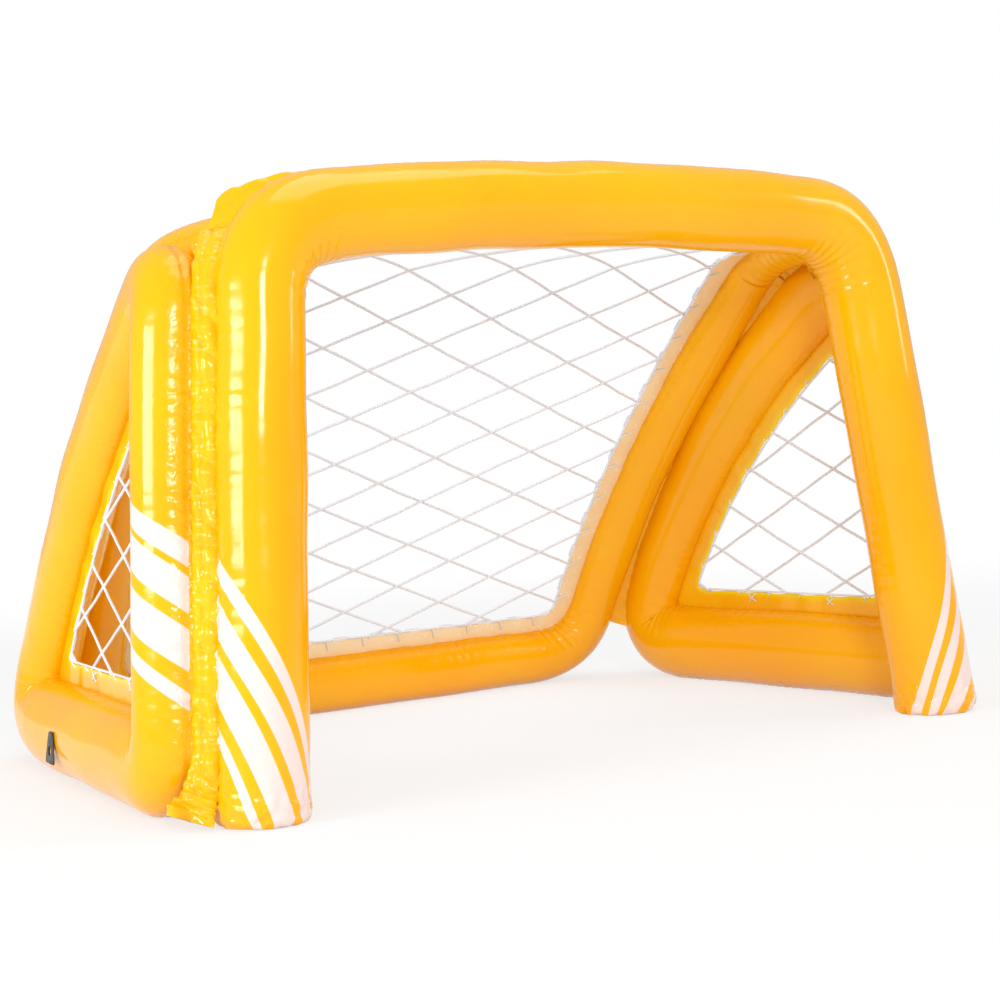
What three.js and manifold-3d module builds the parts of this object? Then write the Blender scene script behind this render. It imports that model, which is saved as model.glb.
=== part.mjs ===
// Inflatable water polo goal: four welded air chambers, seams, flanges, laced nets, valves and tether tabs.
// Millimetres, +Z up, -Y to the front. The goal is drawn with the front feet's axes at y = 0 and centred last.
import * as THREE from 'three';
import { mergeVertices } from 'three/addons/utils/BufferGeometryUtils.js';
import Module from 'manifold-3d';

const wasm = await Module();
wasm.setup();

// Front chamber: an upside-down U with splayed posts and an arched crossbar
const footHalfSpan = 556.5;
const topHalfSpan = 485;
const postLean = 61.5;
const cornerHeight = 730.2;
const crossbarRise = 22.6;
const frontRadius = 58;
const frontCornerReach = 102;
const footRound = 26;
const footTuck = 10;

// Side chambers: closed three-sided rings; the half sizes are across the ring's plane, then within it
const ringPostHalf = [56, 48];
const ringSlopeHalf = [42, 60];
const ringBottomHalf = [56, 64];
const ringTopHeight = 690;
const ringTopReach = 100;
const ringBackReach = 125;
const ringFrontReach = 56;
const ringSlopeBow = 52;
const ringBackHalfSpan = 560;
const ringBackDepth = 738;

// Rear chamber: a U whose sloping tubes lie against the side chambers and whose tips meet the crossbar
const rearRadius = 44.5;
const rearBarRadius = 50.6;
const rearSetback = 53.5;
const rearCornerReach = 104;
const rearCornerNip = 2.6;
const rearSlopeBow = 37;
const rearTopTuck = 24.5;
const rearTopSetback = 140.3;
const rearTopRise = 25.3;
const rearTipReach = 90;
const rearTipInset = 30;
const rearTipDepth = 23.5;
const rearTipRise = 4.8;

// Fit of the pieces
const fitGap = 0.35;
const restFlat = 2;

// Flanges, nets and lacing
const flangeWidth = 28;
const flangeThickness = 1.6;
const openingRadius = 34;
const openingBow = 3;
const flangeSplitMargin = 14;
const netThickness = 3;
const strandWidth = 3.4;
const borderWidth = 4;
const meshWidth = 180;
const rearMeshStart = -11.4;
const rearMeshHeight = 105;
const rearMeshShrink = 1.28;
const rearMeshShift = 50;
const sideMeshHeight = 90.5;
const sideMeshStart = [246, 162];
const smallestGapWidth = 9.5;
const laceRadius = 1.3;
const laceStitchLength = 90;
const laceInset = 7;
const laceRoom = 3;
const laceHoleHalf = 2.1;
const stitchShares = [0.5, 0.55, 0.6, 0.65, 0.7, 0.75, 0.8, 0.85, 0.9, 0.95, 1];

// Seams between the chambers, and the weld band that stands along the crossbar's top
const frontSeamHalf = [17, 2];
const frontSeamOut = 38;
const frontSeamEnds = [30, 640];
const rearSeamHalf = [17, 2];
const rearSeamOut = 34;
const topSeamHalf = [1, 7];
const topSeamAngle = 28;

// Valves: outside sizes of the base, the stem that slides in it and the plug that fits the stem
const baseRadius = 18;
const baseDepth = 4.6;
const baseRise = 0.8;
const stemRadius = 7;
const stemBore = 4.3;
const stemLength = 12;
const stemRimRadius = 10;
const stemRimThickness = 2;
const stemRoom = 1.2;
const pinRadius = 3.9;
const pinLength = 8;
const capRadius = 8.5;
const capThickness = 1.6;
const liftTabSize = [7, 6];
const crossbarValveAcross = 200;
const crossbarValveAngle = -53;
const rearValveAcross = 150;
const rearValveAngle = 53;
const ringValveAlong = 380;
const ringValveTurn = 22;

// Tether tabs on the side chambers' bottom tubes
const tabAlong = 375;
const tabTopHalfWidth = 9;
const tabFootHalfWidth = 21;
const tabAbove = 8;
const tabBelow = 36;
const tabThickness = 2.4;
const tabEyeRadius = 6;
const tabEyeBelow = 18;

// Counts of facets and steps
const tubeSides = 16;
const cordSides = 4;
const turnedSides = 10;
const longSteps = 12;
const openingSteps = 16;
const bendSteps = 6;
const shortSteps = 4;
const straightSteps = 2;
const straightShare = 0.001;
const creaseShare = 0.85;
const netBendShare = 0.8;
const sharpTurn = 25;

const vinyl = new THREE.MeshStandardMaterial({ color: 0xffb800, roughness: 0.28, metalness: 0 });
const weldedVinyl = new THREE.MeshStandardMaterial({ color: 0xffab00, roughness: 0.4, metalness: 0 });
const netCord = new THREE.MeshStandardMaterial({ color: 0xf4f2ee, roughness: 0.85, metalness: 0 });
const clearVinyl = new THREE.MeshStandardMaterial({ color: 0xe9e4d2, roughness: 0.35, metalness: 0 });
const blackPlastic = new THREE.MeshStandardMaterial({ color: 0x1a1a1c, roughness: 0.5, metalness: 0 });

const at = (x, y, z) => new THREE.Vector3(x, y, z);
const flat = (x, y) => new THREE.Vector2(x, y);
const direction = (from, to) => to.clone().sub(from).normalize();
const towards = (from, to, distance) => from.clone().addScaledVector(direction(from, to), distance);
const mirrored = (point) => at(-point.x, point.y, point.z);
const bend = (from, corner, to, steps) => new THREE.QuadraticBezierCurve3(from, corner, to).getPoints(steps);
const straight = (from, to, steps) => new THREE.LineCurve3(from, to).getPoints(steps);
const mixed = (a, b, share) => a.map((value, i) => value + (b[i] - value) * share);
const radians = THREE.MathUtils.degToRad;

// The distance from an ellipse's centre to its edge, in a direction given by two components
const edgeOfEllipse = (half, a, b) => Math.hypot(a, b) / Math.hypot(a / half[0], b / half[1]);

const roundOutline = (sides) => Array.from({ length: sides }, (_, k) => {
  const angle = (2 * Math.PI * k) / sides;
  return [Math.cos(angle), Math.sin(angle)];
});
const squareOutline = [[1, 1], [-1, 1], [-1, -1], [1, -1]];

function indexed(positions, index) {
  const geometry = new THREE.BufferGeometry();
  geometry.setAttribute('position', new THREE.Float32BufferAttribute(positions, 3));
  geometry.setIndex(index);
  return geometry;
}

// Carries an outline along stations { point, half }. Its first axis follows the guide, which may change.
// On the inside of a bend the outline stops short of the bend's centre, as a creased tube does.
function sections(stations, guideAt, outline, closed, grow = 0) {
  const count = stations.length;
  const neighbour = (i) => (closed ? (i + count) % count : Math.min(Math.max(i, 0), count - 1));
  const spot = (i) => stations[neighbour(i)].point;
  const runs = stations.map((_, i) => direction(spot(i - 1), spot(i + 1)));
  const bendRadius = (i, j) => spot(i).distanceTo(spot(j)) / Math.max(runs[i].distanceTo(runs[j]), straightShare);
  return stations.map(({ point, half }, i) => {
    const along = runs[i];
    const [before, after] = [neighbour(i - 1), neighbour(i + 1)];
    const radii = [before, after].filter((other) => other !== i).map((other) => bendRadius(i, other));
    const limit = Math.min(...radii) * creaseShare + grow;
    const inner = runs[after].clone().sub(runs[before]).normalize();
    const guide = guideAt(i);
    const first = guide.clone().addScaledVector(along, -guide.dot(along)).normalize();
    const second = along.clone().cross(first);
    return outline.map(([a, b]) => {
      const offset = first.clone().multiplyScalar(a * (half[0] + grow));
      offset.addScaledVector(second, b * (half[1] + grow));
      offset.addScaledVector(inner, -Math.max(offset.dot(inner) - limit, 0));
      return offset.add(point);
    });
  });
}

// Joins rings of as many points each into a closed skin: a loop, or a stretch with two flat ends
function skin(rings, closed) {
  const count = rings.length;
  const sides = rings[0].length;
  const index = [];
  for (let i = 0; i < (closed ? count : count - 1); i += 1) {
    for (let j = 0; j < sides; j += 1) {
      const near = i * sides + j;
      const nearNext = i * sides + ((j + 1) % sides);
      const far = ((i + 1) % count) * sides + j;
      const farNext = ((i + 1) % count) * sides + ((j + 1) % sides);
      index.push(near, nearNext, farNext, near, farNext, far);
    }
  }
  const last = (count - 1) * sides;
  for (let j = 1; !closed && j < sides - 1; j += 1) {
    index.push(0, j + 1, j, last, last + j, last + j + 1);
  }
  return solid(indexed(rings.flat().flatMap((point) => point.toArray()), index));
}

const sweep = (stations, guideAt, outline, closed, grow) => {
  return skin(sections(stations, guideAt, outline, closed, grow), closed);
};

// Six times the signed volume: below zero when the faces point inwards
function signedVolume(positions, index) {
  const corners = [at(0, 0, 0), at(0, 0, 0), at(0, 0, 0)];
  let total = 0;
  for (let i = 0; i < index.length; i += 3) {
    corners.forEach((corner, k) => corner.fromArray(positions, index[i + k] * 3));
    total += corners[0].dot(corners[1].clone().cross(corners[2]));
  }
  return total;
}

function solid(geometry) {
  const bare = geometry.clone();
  bare.deleteAttribute('normal');
  bare.deleteAttribute('uv');
  const merged = mergeVertices(bare);
  const vertProperties = new Float32Array(merged.attributes.position.array);
  const triVerts = new Uint32Array(merged.index.array);
  if (signedVolume(vertProperties, triVerts) < 0) {
    for (let i = 0; i < triVerts.length; i += 3) {
      [triVerts[i], triVerts[i + 1]] = [triVerts[i + 1], triVerts[i]];
    }
  }
  return new wasm.Manifold(new wasm.Mesh({ numProp: 3, vertProperties, triVerts }));
}

// A grazing cut can leave specks thinner than a hair, so a body that was cut keeps its largest part
const without = (body, cutters) => cutters.reduce((rest, cutter) => rest.subtract(cutter), body);
const largest = (body) => body.decompose().reduce((best, part) => (part.volume() > best.volume() ? part : best));
const cut = (body, cutters) => largest(without(body, cutters));

const goal = new THREE.Group();

function addPiece(name, body, material, holder = goal) {
  const { vertProperties, triVerts } = body.getMesh();
  const piece = new THREE.Mesh(indexed(Array.from(vertProperties), Array.from(triVerts)), material);
  piece.name = name;
  holder.add(piece);
}

function block(low, high) {
  const geometry = new THREE.BoxGeometry(high.x - low.x, high.y - low.y, high.z - low.z);
  geometry.translate((low.x + high.x) / 2, (low.y + high.y) / 2, (low.z + high.z) / 2);
  return solid(geometry);
}

// A flat shape given a thickness, half above and half below
function slab(shape, thickness) {
  const geometry = new THREE.ExtrudeGeometry(shape, { depth: thickness, bevelEnabled: false });
  geometry.translate(0, 0, -thickness / 2);
  return solid(geometry);
}

// A flat body carried to its place by a function of (u, v, height). Where the place bends, each edge that
// spans more than the given length of v is halved first, as often as it takes.
function carried(body, place, longest = Infinity) {
  const { vertProperties, triVerts } = body.getMesh();
  const count = vertProperties.length / 3;
  const points = Array.from({ length: count }, (_, i) => at(0, 0, 0).fromArray(vertProperties, 3 * i));
  const middles = new Map();
  const middle = (a, b) => {
    const key = [Math.min(a, b), Math.max(a, b)].join();
    if (!middles.has(key)) {
      middles.set(key, points.length);
      points.push(points[a].clone().lerp(points[b], 1 / 2));
    }
    return middles.get(key);
  };
  const span = ([a, b]) => Math.abs(points[a].y - points[b].y);
  const halved = ([a, b, c]) => {
    const turns = [[a, b, c], [b, c, a], [c, a, b]];
    const [p, q, r] = turns.reduce((best, turn) => (span(turn) > span(best) ? turn : best));
    const m = span([p, q]) > longest ? middle(p, q) : -1;
    return m < 0 ? [p, q, r] : [...halved([p, m, r]), ...halved([m, q, r])];
  };
  const index = Array.from({ length: triVerts.length / 3 }, (_, i) => halved(triVerts.slice(3 * i, 3 * i + 3)));
  return solid(indexed(points.flatMap((p) => place(p.x, p.y, p.z).toArray()), index.flat()));
}

// A closed band between two loops of as many points each
function band(inner, outer, thickness, place) {
  const half = thickness / 2;
  const positions = [];
  const index = [];
  inner.forEach((spot, i) => {
    const other = outer[i];
    for (const [p, height] of [[spot, -half], [spot, half], [other, half], [other, -half]]) {
      positions.push(...place(p.x, p.y, height).toArray());
    }
    const next = (i + 1) % inner.length;
    for (let j = 0; j < 4; j += 1) {
      const k = (j + 1) % 4;
      index.push(i * 4 + j, i * 4 + k, next * 4 + k, i * 4 + j, next * 4 + k, next * 4 + j);
    }
  });
  return solid(indexed(positions, index));
}

// Flat outlines run anticlockwise; each side moves inwards by its own distance
function insetOutline(corners, distances) {
  const count = corners.length;
  const sides = corners.map((corner, i) => {
    const run = corners[(i + 1) % count].clone().sub(corner).normalize();
    const inward = flat(-run.y, run.x);
    return { start: corner.clone().addScaledVector(inward, distances[i % distances.length]), run };
  });
  return sides.map(({ start, run }, i) => {
    const before = sides[(i + count - 1) % count];
    const across = run.x * before.run.y - run.y * before.run.x;
    if (Math.abs(across) < straightShare) {
      return start.clone();
    }
    const away = before.start.clone().sub(start);
    return start.clone().addScaledVector(run, (away.x * before.run.y - away.y * before.run.x) / across);
  });
}

// Rounds the sharp corners of an outline
function roundedOutline(corners, radius) {
  const count = corners.length;
  return corners.flatMap((corner, i) => {
    const incoming = corner.clone().sub(corners[(i + count - 1) % count]);
    const outgoing = corners[(i + 1) % count].clone().sub(corner);
    const turn = incoming.angleTo(outgoing);
    const room = Math.min(incoming.length(), outgoing.length()) / 3;
    const reach = Math.min(radius * Math.tan(turn / 2), room);
    const start = corner.clone().addScaledVector(incoming.normalize(), -reach);
    const end = corner.clone().addScaledVector(outgoing.normalize(), reach);
    const rounding = new THREE.QuadraticBezierCurve(start, corner, end).getPoints(shortSteps);
    return turn > radians(sharpTurn) ? rounding : [corner.clone()];
  });
}

// Keeps what lies on the left of a line
function clippedBy(polygon, start, run) {
  const depthOf = (p) => run.x * (p.y - start.y) - run.y * (p.x - start.x);
  return polygon.flatMap((p, k) => {
    const q = polygon[(k + 1) % polygon.length];
    const depth = depthOf(p);
    const nextDepth = depthOf(q);
    const kept = depth >= 0 ? [p] : [];
    return depth * nextDepth < 0 ? [...kept, p.clone().lerp(q, depth / (depth - nextDepth))] : kept;
  });
}

// Keeps what lies inside a convex outline
function clipped(polygon, outline) {
  return outline.reduce((shape, corner, i) => {
    return clippedBy(shape, corner, outline[(i + 1) % outline.length].clone().sub(corner));
  }, polygon);
}

// A diamond mesh's gaps: each cell less half a strand all round, kept inside the border
function netGaps(inner, cells) {
  return cells.flatMap(({ x, y, halfWidth, halfHeight }) => {
    const fromCentre = (halfWidth * halfHeight) / Math.hypot(halfWidth, halfHeight);
    const scale = (fromCentre - strandWidth / 2) / fromCentre;
    const a = halfWidth * scale;
    const b = halfHeight * scale;
    const diamond = [flat(x + a, y), flat(x, y + b), flat(x - a, y), flat(x, y - b)];
    const gap = clipped(diamond, inner).filter((p, i, all) => p.distanceTo(all[(i + 1) % all.length]) > fitGap);
    const isOpen = gap.length > 2 && THREE.ShapeUtils.area(gap) > smallestGapWidth ** 2;
    return isOpen ? [gap] : [];
  });
}

// How far a spot lies inside the gap that holds it, or less than zero where none does
function roomInGaps(spot, gaps) {
  const rooms = gaps.map((gap) => Math.min(...gap.map((p, i) => {
    const run = gap[(i + 1) % gap.length].clone().sub(p).normalize();
    return run.x * (spot.y - p.y) - run.y * (spot.x - p.x);
  })));
  return Math.max(...rooms);
}

// The chambers' paths

const foot = at(footHalfSpan, 0, 0);
const corner = at(topHalfSpan, postLean, cornerHeight);
const crossbarAt = (x) => at(x, postLean, cornerHeight + crossbarRise * (1 - (x / topHalfSpan) ** 2));
const postPoint = (height) => foot.clone().lerp(corner, height / cornerHeight);
const frontHalf = [frontRadius, frontRadius];

function frontStations() {
  const sole = towards(foot, corner, -footTuck);
  const rounding = Array.from({ length: shortSteps + 1 }, (_, k) => {
    const angle = (Math.PI / 2) * (k / shortSteps);
    const radius = frontRadius - footRound * (1 - Math.sin(angle));
    return { point: towards(sole, corner, footRound * (1 - Math.cos(angle))), half: [radius, radius] };
  });
  const bendStart = towards(corner, foot, frontCornerReach);
  const barStart = topHalfSpan - frontCornerReach;
  const post = straight(rounding[shortSteps].point, bendStart, straightSteps).slice(1, -1);
  const turn = bend(bendStart, corner, crossbarAt(barStart), bendSteps);
  const across = (k) => barStart * (1 - (k + 1) / shortSteps);
  const halfBar = Array.from({ length: shortSteps }, (_, k) => crossbarAt(across(k)));
  const right = [...rounding, ...[...post, ...turn, ...halfBar].map((point) => ({ point, half: frontHalf }))];
  const left = right.slice(0, -1).reverse().map(({ point, half }) => ({ point: mirrored(point), half }));
  return [...right, ...left];
}

const ringBeside = (frontRadius + edgeOfEllipse(ringPostHalf, 1, 1)) * Math.SQRT1_2;
const ringOffset = at(ringBeside, ringBeside, 0);
const ringAxisHeight = ringBottomHalf[1] - restFlat;
const ringFront = postPoint(ringAxisHeight).add(ringOffset);
const ringTop = postPoint(ringTopHeight).add(ringOffset);
const ringBack = at(ringBackHalfSpan, ringBackDepth, ringAxisHeight);
const ringNormal = direction(ringFront, ringTop).cross(direction(ringFront, ringBack)).normalize();
const ringMiddle = ringTop.clone().lerp(ringBack, 1 / 2);
const ringOutward = ringNormal.clone().cross(direction(ringTop, ringBack));
if (ringOutward.dot(ringMiddle.clone().sub(ringFront)) < 0) {
  ringOutward.negate();
}
const ringBowPoint = ringMiddle.clone().addScaledVector(ringOutward, 2 * ringSlopeBow);
const ringSlope = bend(
  towards(ringTop, ringBowPoint, ringTopReach),
  ringBowPoint,
  towards(ringBack, ringBowPoint, ringBackReach),
  longSteps,
);

function ringStations() {
  const postTop = towards(ringTop, ringFront, ringTopReach);
  const postFoot = towards(ringFront, ringTop, ringFrontReach);
  const bottomBack = towards(ringBack, ringFront, ringBackReach);
  const bottomFront = towards(ringFront, ringBack, ringFrontReach);
  const runs = [
    [straight(postFoot, postTop, straightSteps), ringPostHalf, ringPostHalf],
    [bend(postTop, ringTop, ringSlope[0], bendSteps), ringPostHalf, ringSlopeHalf],
    [ringSlope, ringSlopeHalf, ringSlopeHalf],
    [bend(ringSlope[longSteps], ringBack, bottomBack, bendSteps), ringSlopeHalf, ringBottomHalf],
    [straight(bottomBack, bottomFront, straightSteps), ringBottomHalf, ringBottomHalf],
    [bend(bottomFront, ringFront, postFoot, bendSteps), ringBottomHalf, ringPostHalf],
  ];
  return runs.flatMap(([points, from, to]) => {
    const steps = points.length - 1;
    return points.slice(0, -1).map((point, k) => ({ point, half: mixed(from, to, k / steps) }));
  });
}

const rearCorner = at(
  ringBackHalfSpan - ringBottomHalf[0] - rearBarRadius + rearCornerNip,
  ringBackDepth + rearSetback,
  rearBarRadius - restFlat,
);
const rearTopInward = ringSlopeHalf[0] + rearRadius - rearTopTuck;
const rearTop = ringTop.clone().add(at(-rearTopInward, rearTopSetback, rearTopRise));
const rearMiddle = rearTop.clone().lerp(rearCorner, 1 / 2);
const rearRun = direction(rearTop, rearCorner);
const rearOutward = at(0, rearRun.z, -rearRun.y).normalize().negate();
const rearBowPoint = rearMiddle.clone().addScaledVector(rearOutward, 2 * rearSlopeBow);
const rearSlopeEnd = towards(rearCorner, rearBowPoint, rearCornerReach);
const rearSlope = bend(rearTop, rearBowPoint, rearSlopeEnd, longSteps);
const rearTip = at(topHalfSpan - rearTipInset, postLean + rearTipDepth, cornerHeight + rearTipRise);
const rearTipBend = bend(rearTip, towards(rearTop, rearBowPoint, -rearTipReach), rearTop, bendSteps);

function rearStations() {
  const barStart = at(rearCorner.x - rearCornerReach, rearCorner.y, rearCorner.z);
  const turn = bend(rearSlopeEnd, rearCorner, barStart, bendSteps);
  const right = [
    ...[...rearTipBend.slice(0, -1), ...rearSlope].map((point) => ({ point, half: rearRadius })),
    ...turn.slice(1).map((point, k) => ({
      point,
      half: rearRadius + (rearBarRadius - rearRadius) * ((k + 1) / bendSteps),
    })),
  ].map(({ point, half }) => ({ point, half: [half, half] }));
  const middle = { point: at(0, rearCorner.y, rearCorner.z), half: [rearBarRadius, rearBarRadius] };
  const left = right.map(({ point, half }) => ({ point: mirrored(point), half })).reverse();
  return [...right, middle, ...left];
}

const backward = at(0, 1, 0);
const sideNormal = (side) => at(side * ringNormal.x, ringNormal.y, ringNormal.z);
const onSide = (point, side) => at(side * point.x, point.y, point.z);
const tube = roundOutline(tubeSides);

const frontTube = (grow = 0) => sweep(frontStations(), () => backward, tube, false, grow);
const rearTube = (grow = 0) => sweep(rearStations(), () => rearOutward, tube, false, grow);

// Three legs are joined at the middles of their corners, because they crease into each other there
function ringTube(side, grow = 0) {
  const stations = ringStations().map(({ point, half }) => ({ point: onSide(point, side), half }));
  const rings = sections(stations, () => sideNormal(side), tube, true, grow);
  const leg = straightSteps + bendSteps / 2;
  const middles = [leg, leg + bendSteps / 2 + longSteps + bendSteps / 2, rings.length - bendSteps / 2];
  const around = [...rings, ...rings];
  const legs = middles.map((from, k) => {
    const to = k < 2 ? middles[k + 1] : middles[0] + rings.length;
    return skin(around.slice(from, to + 1), false);
  });
  return legs[0].add(legs[1]).add(legs[2]);
}

const reachOut = footHalfSpan + ringBackDepth + cornerHeight;
const ground = block(at(-reachOut, -reachOut, -reachOut), at(reachOut, reachOut, 0));
const frontRoom = frontTube(fitGap);
const ringRooms = [-1, 1].map((side) => ringTube(side, fitGap));
const rearRoom = rearTube(fitGap);

// Valves: each sits in a pocket of its chamber, square to the surface

function lathed(profile) {
  const geometry = new THREE.LatheGeometry(profile.map(([r, z]) => flat(r, z)), turnedSides);
  return geometry.rotateX(Math.PI / 2);
}
const turned = (profile) => solid(lathed(profile));

const stemTop = baseRise + fitGap + stemRimThickness;
const capTop = stemTop + fitGap + capThickness;

function valvePocket(seat, outward) {
  const wide = baseRadius + fitGap;
  const deep = baseDepth + fitGap;
  const narrow = stemRadius + stemRoom;
  const bottom = stemLength + stemRoom;
  const well = [[0, -bottom], [narrow, -bottom], [narrow, -deep]];
  const pocket = lathed([...well, [wide, -deep], [wide, capTop], [0, capTop]]);
  pocket.applyQuaternion(new THREE.Quaternion().setFromUnitVectors(at(0, 0, 1), outward));
  pocket.translate(seat.x, seat.y, seat.z);
  return solid(pocket);
}

function addValve(name, seat, outward) {
  const holder = new THREE.Group();
  holder.position.copy(seat);
  holder.quaternion.setFromUnitVectors(at(0, 0, 1), outward);
  goal.add(holder);
  const hole = stemRadius + fitGap;
  const base = [[hole, -baseDepth], [baseRadius, -baseDepth], [baseRadius, 0], [hole + baseRise, baseRise]];
  addPiece(`${name}_valve_base`, turned([...base, [hole, baseRise], base[0]]), weldedVinyl, holder);
  const rimFoot = stemTop - stemRimThickness;
  const stem = [[stemBore, -stemLength], [stemRadius, -stemLength], [stemRadius, rimFoot]];
  const rim = [[stemRimRadius, rimFoot], [stemRimRadius, stemTop], [stemBore, stemTop]];
  addPiece(`${name}_valve_stem`, turned([...stem, ...rim, stem[0]]), clearVinyl, holder);
  const capFoot = stemTop + fitGap;
  const pinFoot = capFoot - pinLength;
  const plug = [[0, pinFoot], [pinRadius, pinFoot], [pinRadius, capFoot], [capRadius, capFoot]];
  const cap = turned([...plug, [capRadius, capTop], [0, capTop]]);
  const half = liftTabSize[1] / 2;
  const tab = block(at(0, -half, capFoot), at(capRadius + liftTabSize[0], half, capTop));
  addPiece(`${name}_valve_plug`, cap.add(tab), clearVinyl, holder);
}

const facetShare = Math.cos(Math.PI / tubeSides);
const crossbarOut = at(0, Math.cos(radians(crossbarValveAngle)), Math.sin(radians(crossbarValveAngle)));
const rearOut = at(0, Math.cos(radians(rearValveAngle)), Math.sin(radians(rearValveAngle)));
const slopeLength = new THREE.CatmullRomCurve3(ringSlope).getLength();
const ringSeatAxis = new THREE.CatmullRomCurve3(ringSlope).getPointAt(ringValveAlong / slopeLength);
const ringSlopeRun = new THREE.CatmullRomCurve3(ringSlope).getTangentAt(ringValveAlong / slopeLength);
const ringSquare = ringSlopeRun.clone().cross(ringNormal);
if (ringSquare.dot(ringOutward) < 0) {
  ringSquare.negate();
}
const ringOuterSide = ringNormal.clone().multiplyScalar(Math.sign(ringNormal.x));
const ringValveShares = [Math.sin(radians(ringValveTurn)), Math.cos(radians(ringValveTurn))];
const ringValveOut = ringOuterSide.clone().multiplyScalar(ringValveShares[0] / ringSlopeHalf[0]);
ringValveOut.addScaledVector(ringSquare, ringValveShares[1] / ringSlopeHalf[1]).normalize();
const barCentre = at(rearValveAcross, rearCorner.y, rearCorner.z);
const valves = {
  front: [crossbarAt(crossbarValveAcross).addScaledVector(crossbarOut, frontRadius * facetShare), crossbarOut],
  rear: [barCentre.addScaledVector(rearOut, rearBarRadius * facetShare), rearOut],
};
for (const [name, side] of [['left', -1], ['right', 1]]) {
  const seat = ringSeatAxis.clone();
  seat.addScaledVector(ringOuterSide, ringSlopeHalf[0] * facetShare * ringValveShares[0]);
  seat.addScaledVector(ringSquare, ringSlopeHalf[1] * facetShare * ringValveShares[1]);
  valves[name] = [onSide(seat, side), onSide(ringValveOut, side)];
}

// The air chambers

addPiece('front_frame', cut(frontTube(), [ground, valvePocket(...valves.front)]), vinyl);
for (const [name, side] of [['left', -1], ['right', 1]]) {
  const ring = cut(ringTube(side), [ground, frontRoom, valvePocket(...valves[name])]);
  addPiece(`${name}_side_ring`, ring, vinyl);
}
const pockets = Object.values(valves).map(([seat, outward]) => valvePocket(seat, outward));
addPiece('rear_frame', cut(rearTube(), [ground, frontRoom, ...ringRooms, ...pockets]), vinyl);

// Weld strips: each bridges the groove between two chambers and is cut to fit both

const postAcross = ringOffset.clone().normalize();
const postGroove = at(postAcross.y, -postAcross.x, 0);
for (const [name, side] of [['left', -1], ['right', 1]]) {
  const stations = frontSeamEnds.map((height) => {
    const point = postPoint(height).addScaledVector(postAcross, frontRadius);
    point.addScaledVector(postGroove, frontSeamOut);
    return { point: onSide(point, side), half: frontSeamHalf };
  });
  const strip = sweep(stations, () => onSide(postAcross, side), squareOutline, false);
  addPiece(`${name}_front_seam`, cut(strip, [frontRoom, ...ringRooms]), weldedVinyl);
}

const chambers = [frontRoom, ...ringRooms, rearRoom];

function slopeSeam(side) {
  const stations = [];
  const guides = [];
  const ringPath = new THREE.CatmullRomCurve3(ringSlope);
  const rearPath = new THREE.CatmullRomCurve3(rearSlope).getPoints(longSteps * longSteps);
  for (let k = 1; k < longSteps; k += 1) {
    const share = k / longSteps;
    const axis = ringPath.getPointAt(share);
    const nearest = rearPath.reduce((best, p) => (p.distanceTo(axis) < best.distanceTo(axis) ? p : best));
    const across = direction(axis, nearest);
    const groove = ringPath.getTangentAt(share).cross(across).normalize();
    if (groove.dot(ringOutward) < 0) {
      groove.negate();
    }
    const touch = edgeOfEllipse(ringSlopeHalf, across.dot(ringNormal), across.dot(ringSquare));
    const point = axis.clone().addScaledVector(across, touch).addScaledVector(groove, rearSeamOut);
    stations.push({ point: onSide(point, side), half: rearSeamHalf });
    guides.push(onSide(across, side));
  }
  return sweep(stations, (i) => guides[i], squareOutline, false);
}

for (const [name, side] of [['left', -1], ['right', 1]]) {
  const seam = cut(slopeSeam(side), [...chambers, valvePocket(...valves[name])]);
  addPiece(`${name}_rear_seam`, seam, weldedVinyl);
}

function topSeam() {
  const upright = at(0, Math.sin(radians(topSeamAngle)), Math.cos(radians(topSeamAngle)));
  const barStart = topHalfSpan - frontCornerReach;
  const steps = 2 * bendSteps;
  const stations = Array.from({ length: steps + 1 }, (_, k) => {
    const x = barStart * ((2 * k) / steps - 1);
    return { point: crossbarAt(x).addScaledVector(upright, frontRadius), half: topSeamHalf };
  });
  return sweep(stations, () => at(0, upright.z, -upright.y), squareOutline, false);
}

addPiece('top_seam', cut(topSeam(), chambers), weldedVinyl);

// Flanges, nets and lacing. Each opening is a flat outline, carried to its place by a function.

const laceHeight = Math.max(flangeThickness, netThickness) / 2 + laceRadius + laceRoom;

function loopAt(loop, distance) {
  let rest = distance;
  for (let i = 0; ; i = (i + 1) % loop.length) {
    const next = loop[(i + 1) % loop.length];
    const length = loop[i].distanceTo(next);
    if (rest <= length) {
      const run = next.clone().sub(loop[i]).normalize();
      return { spot: loop[i].clone().addScaledVector(run, rest), run, inward: flat(-run.y, run.x) };
    }
    rest -= length;
  }
}

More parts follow.
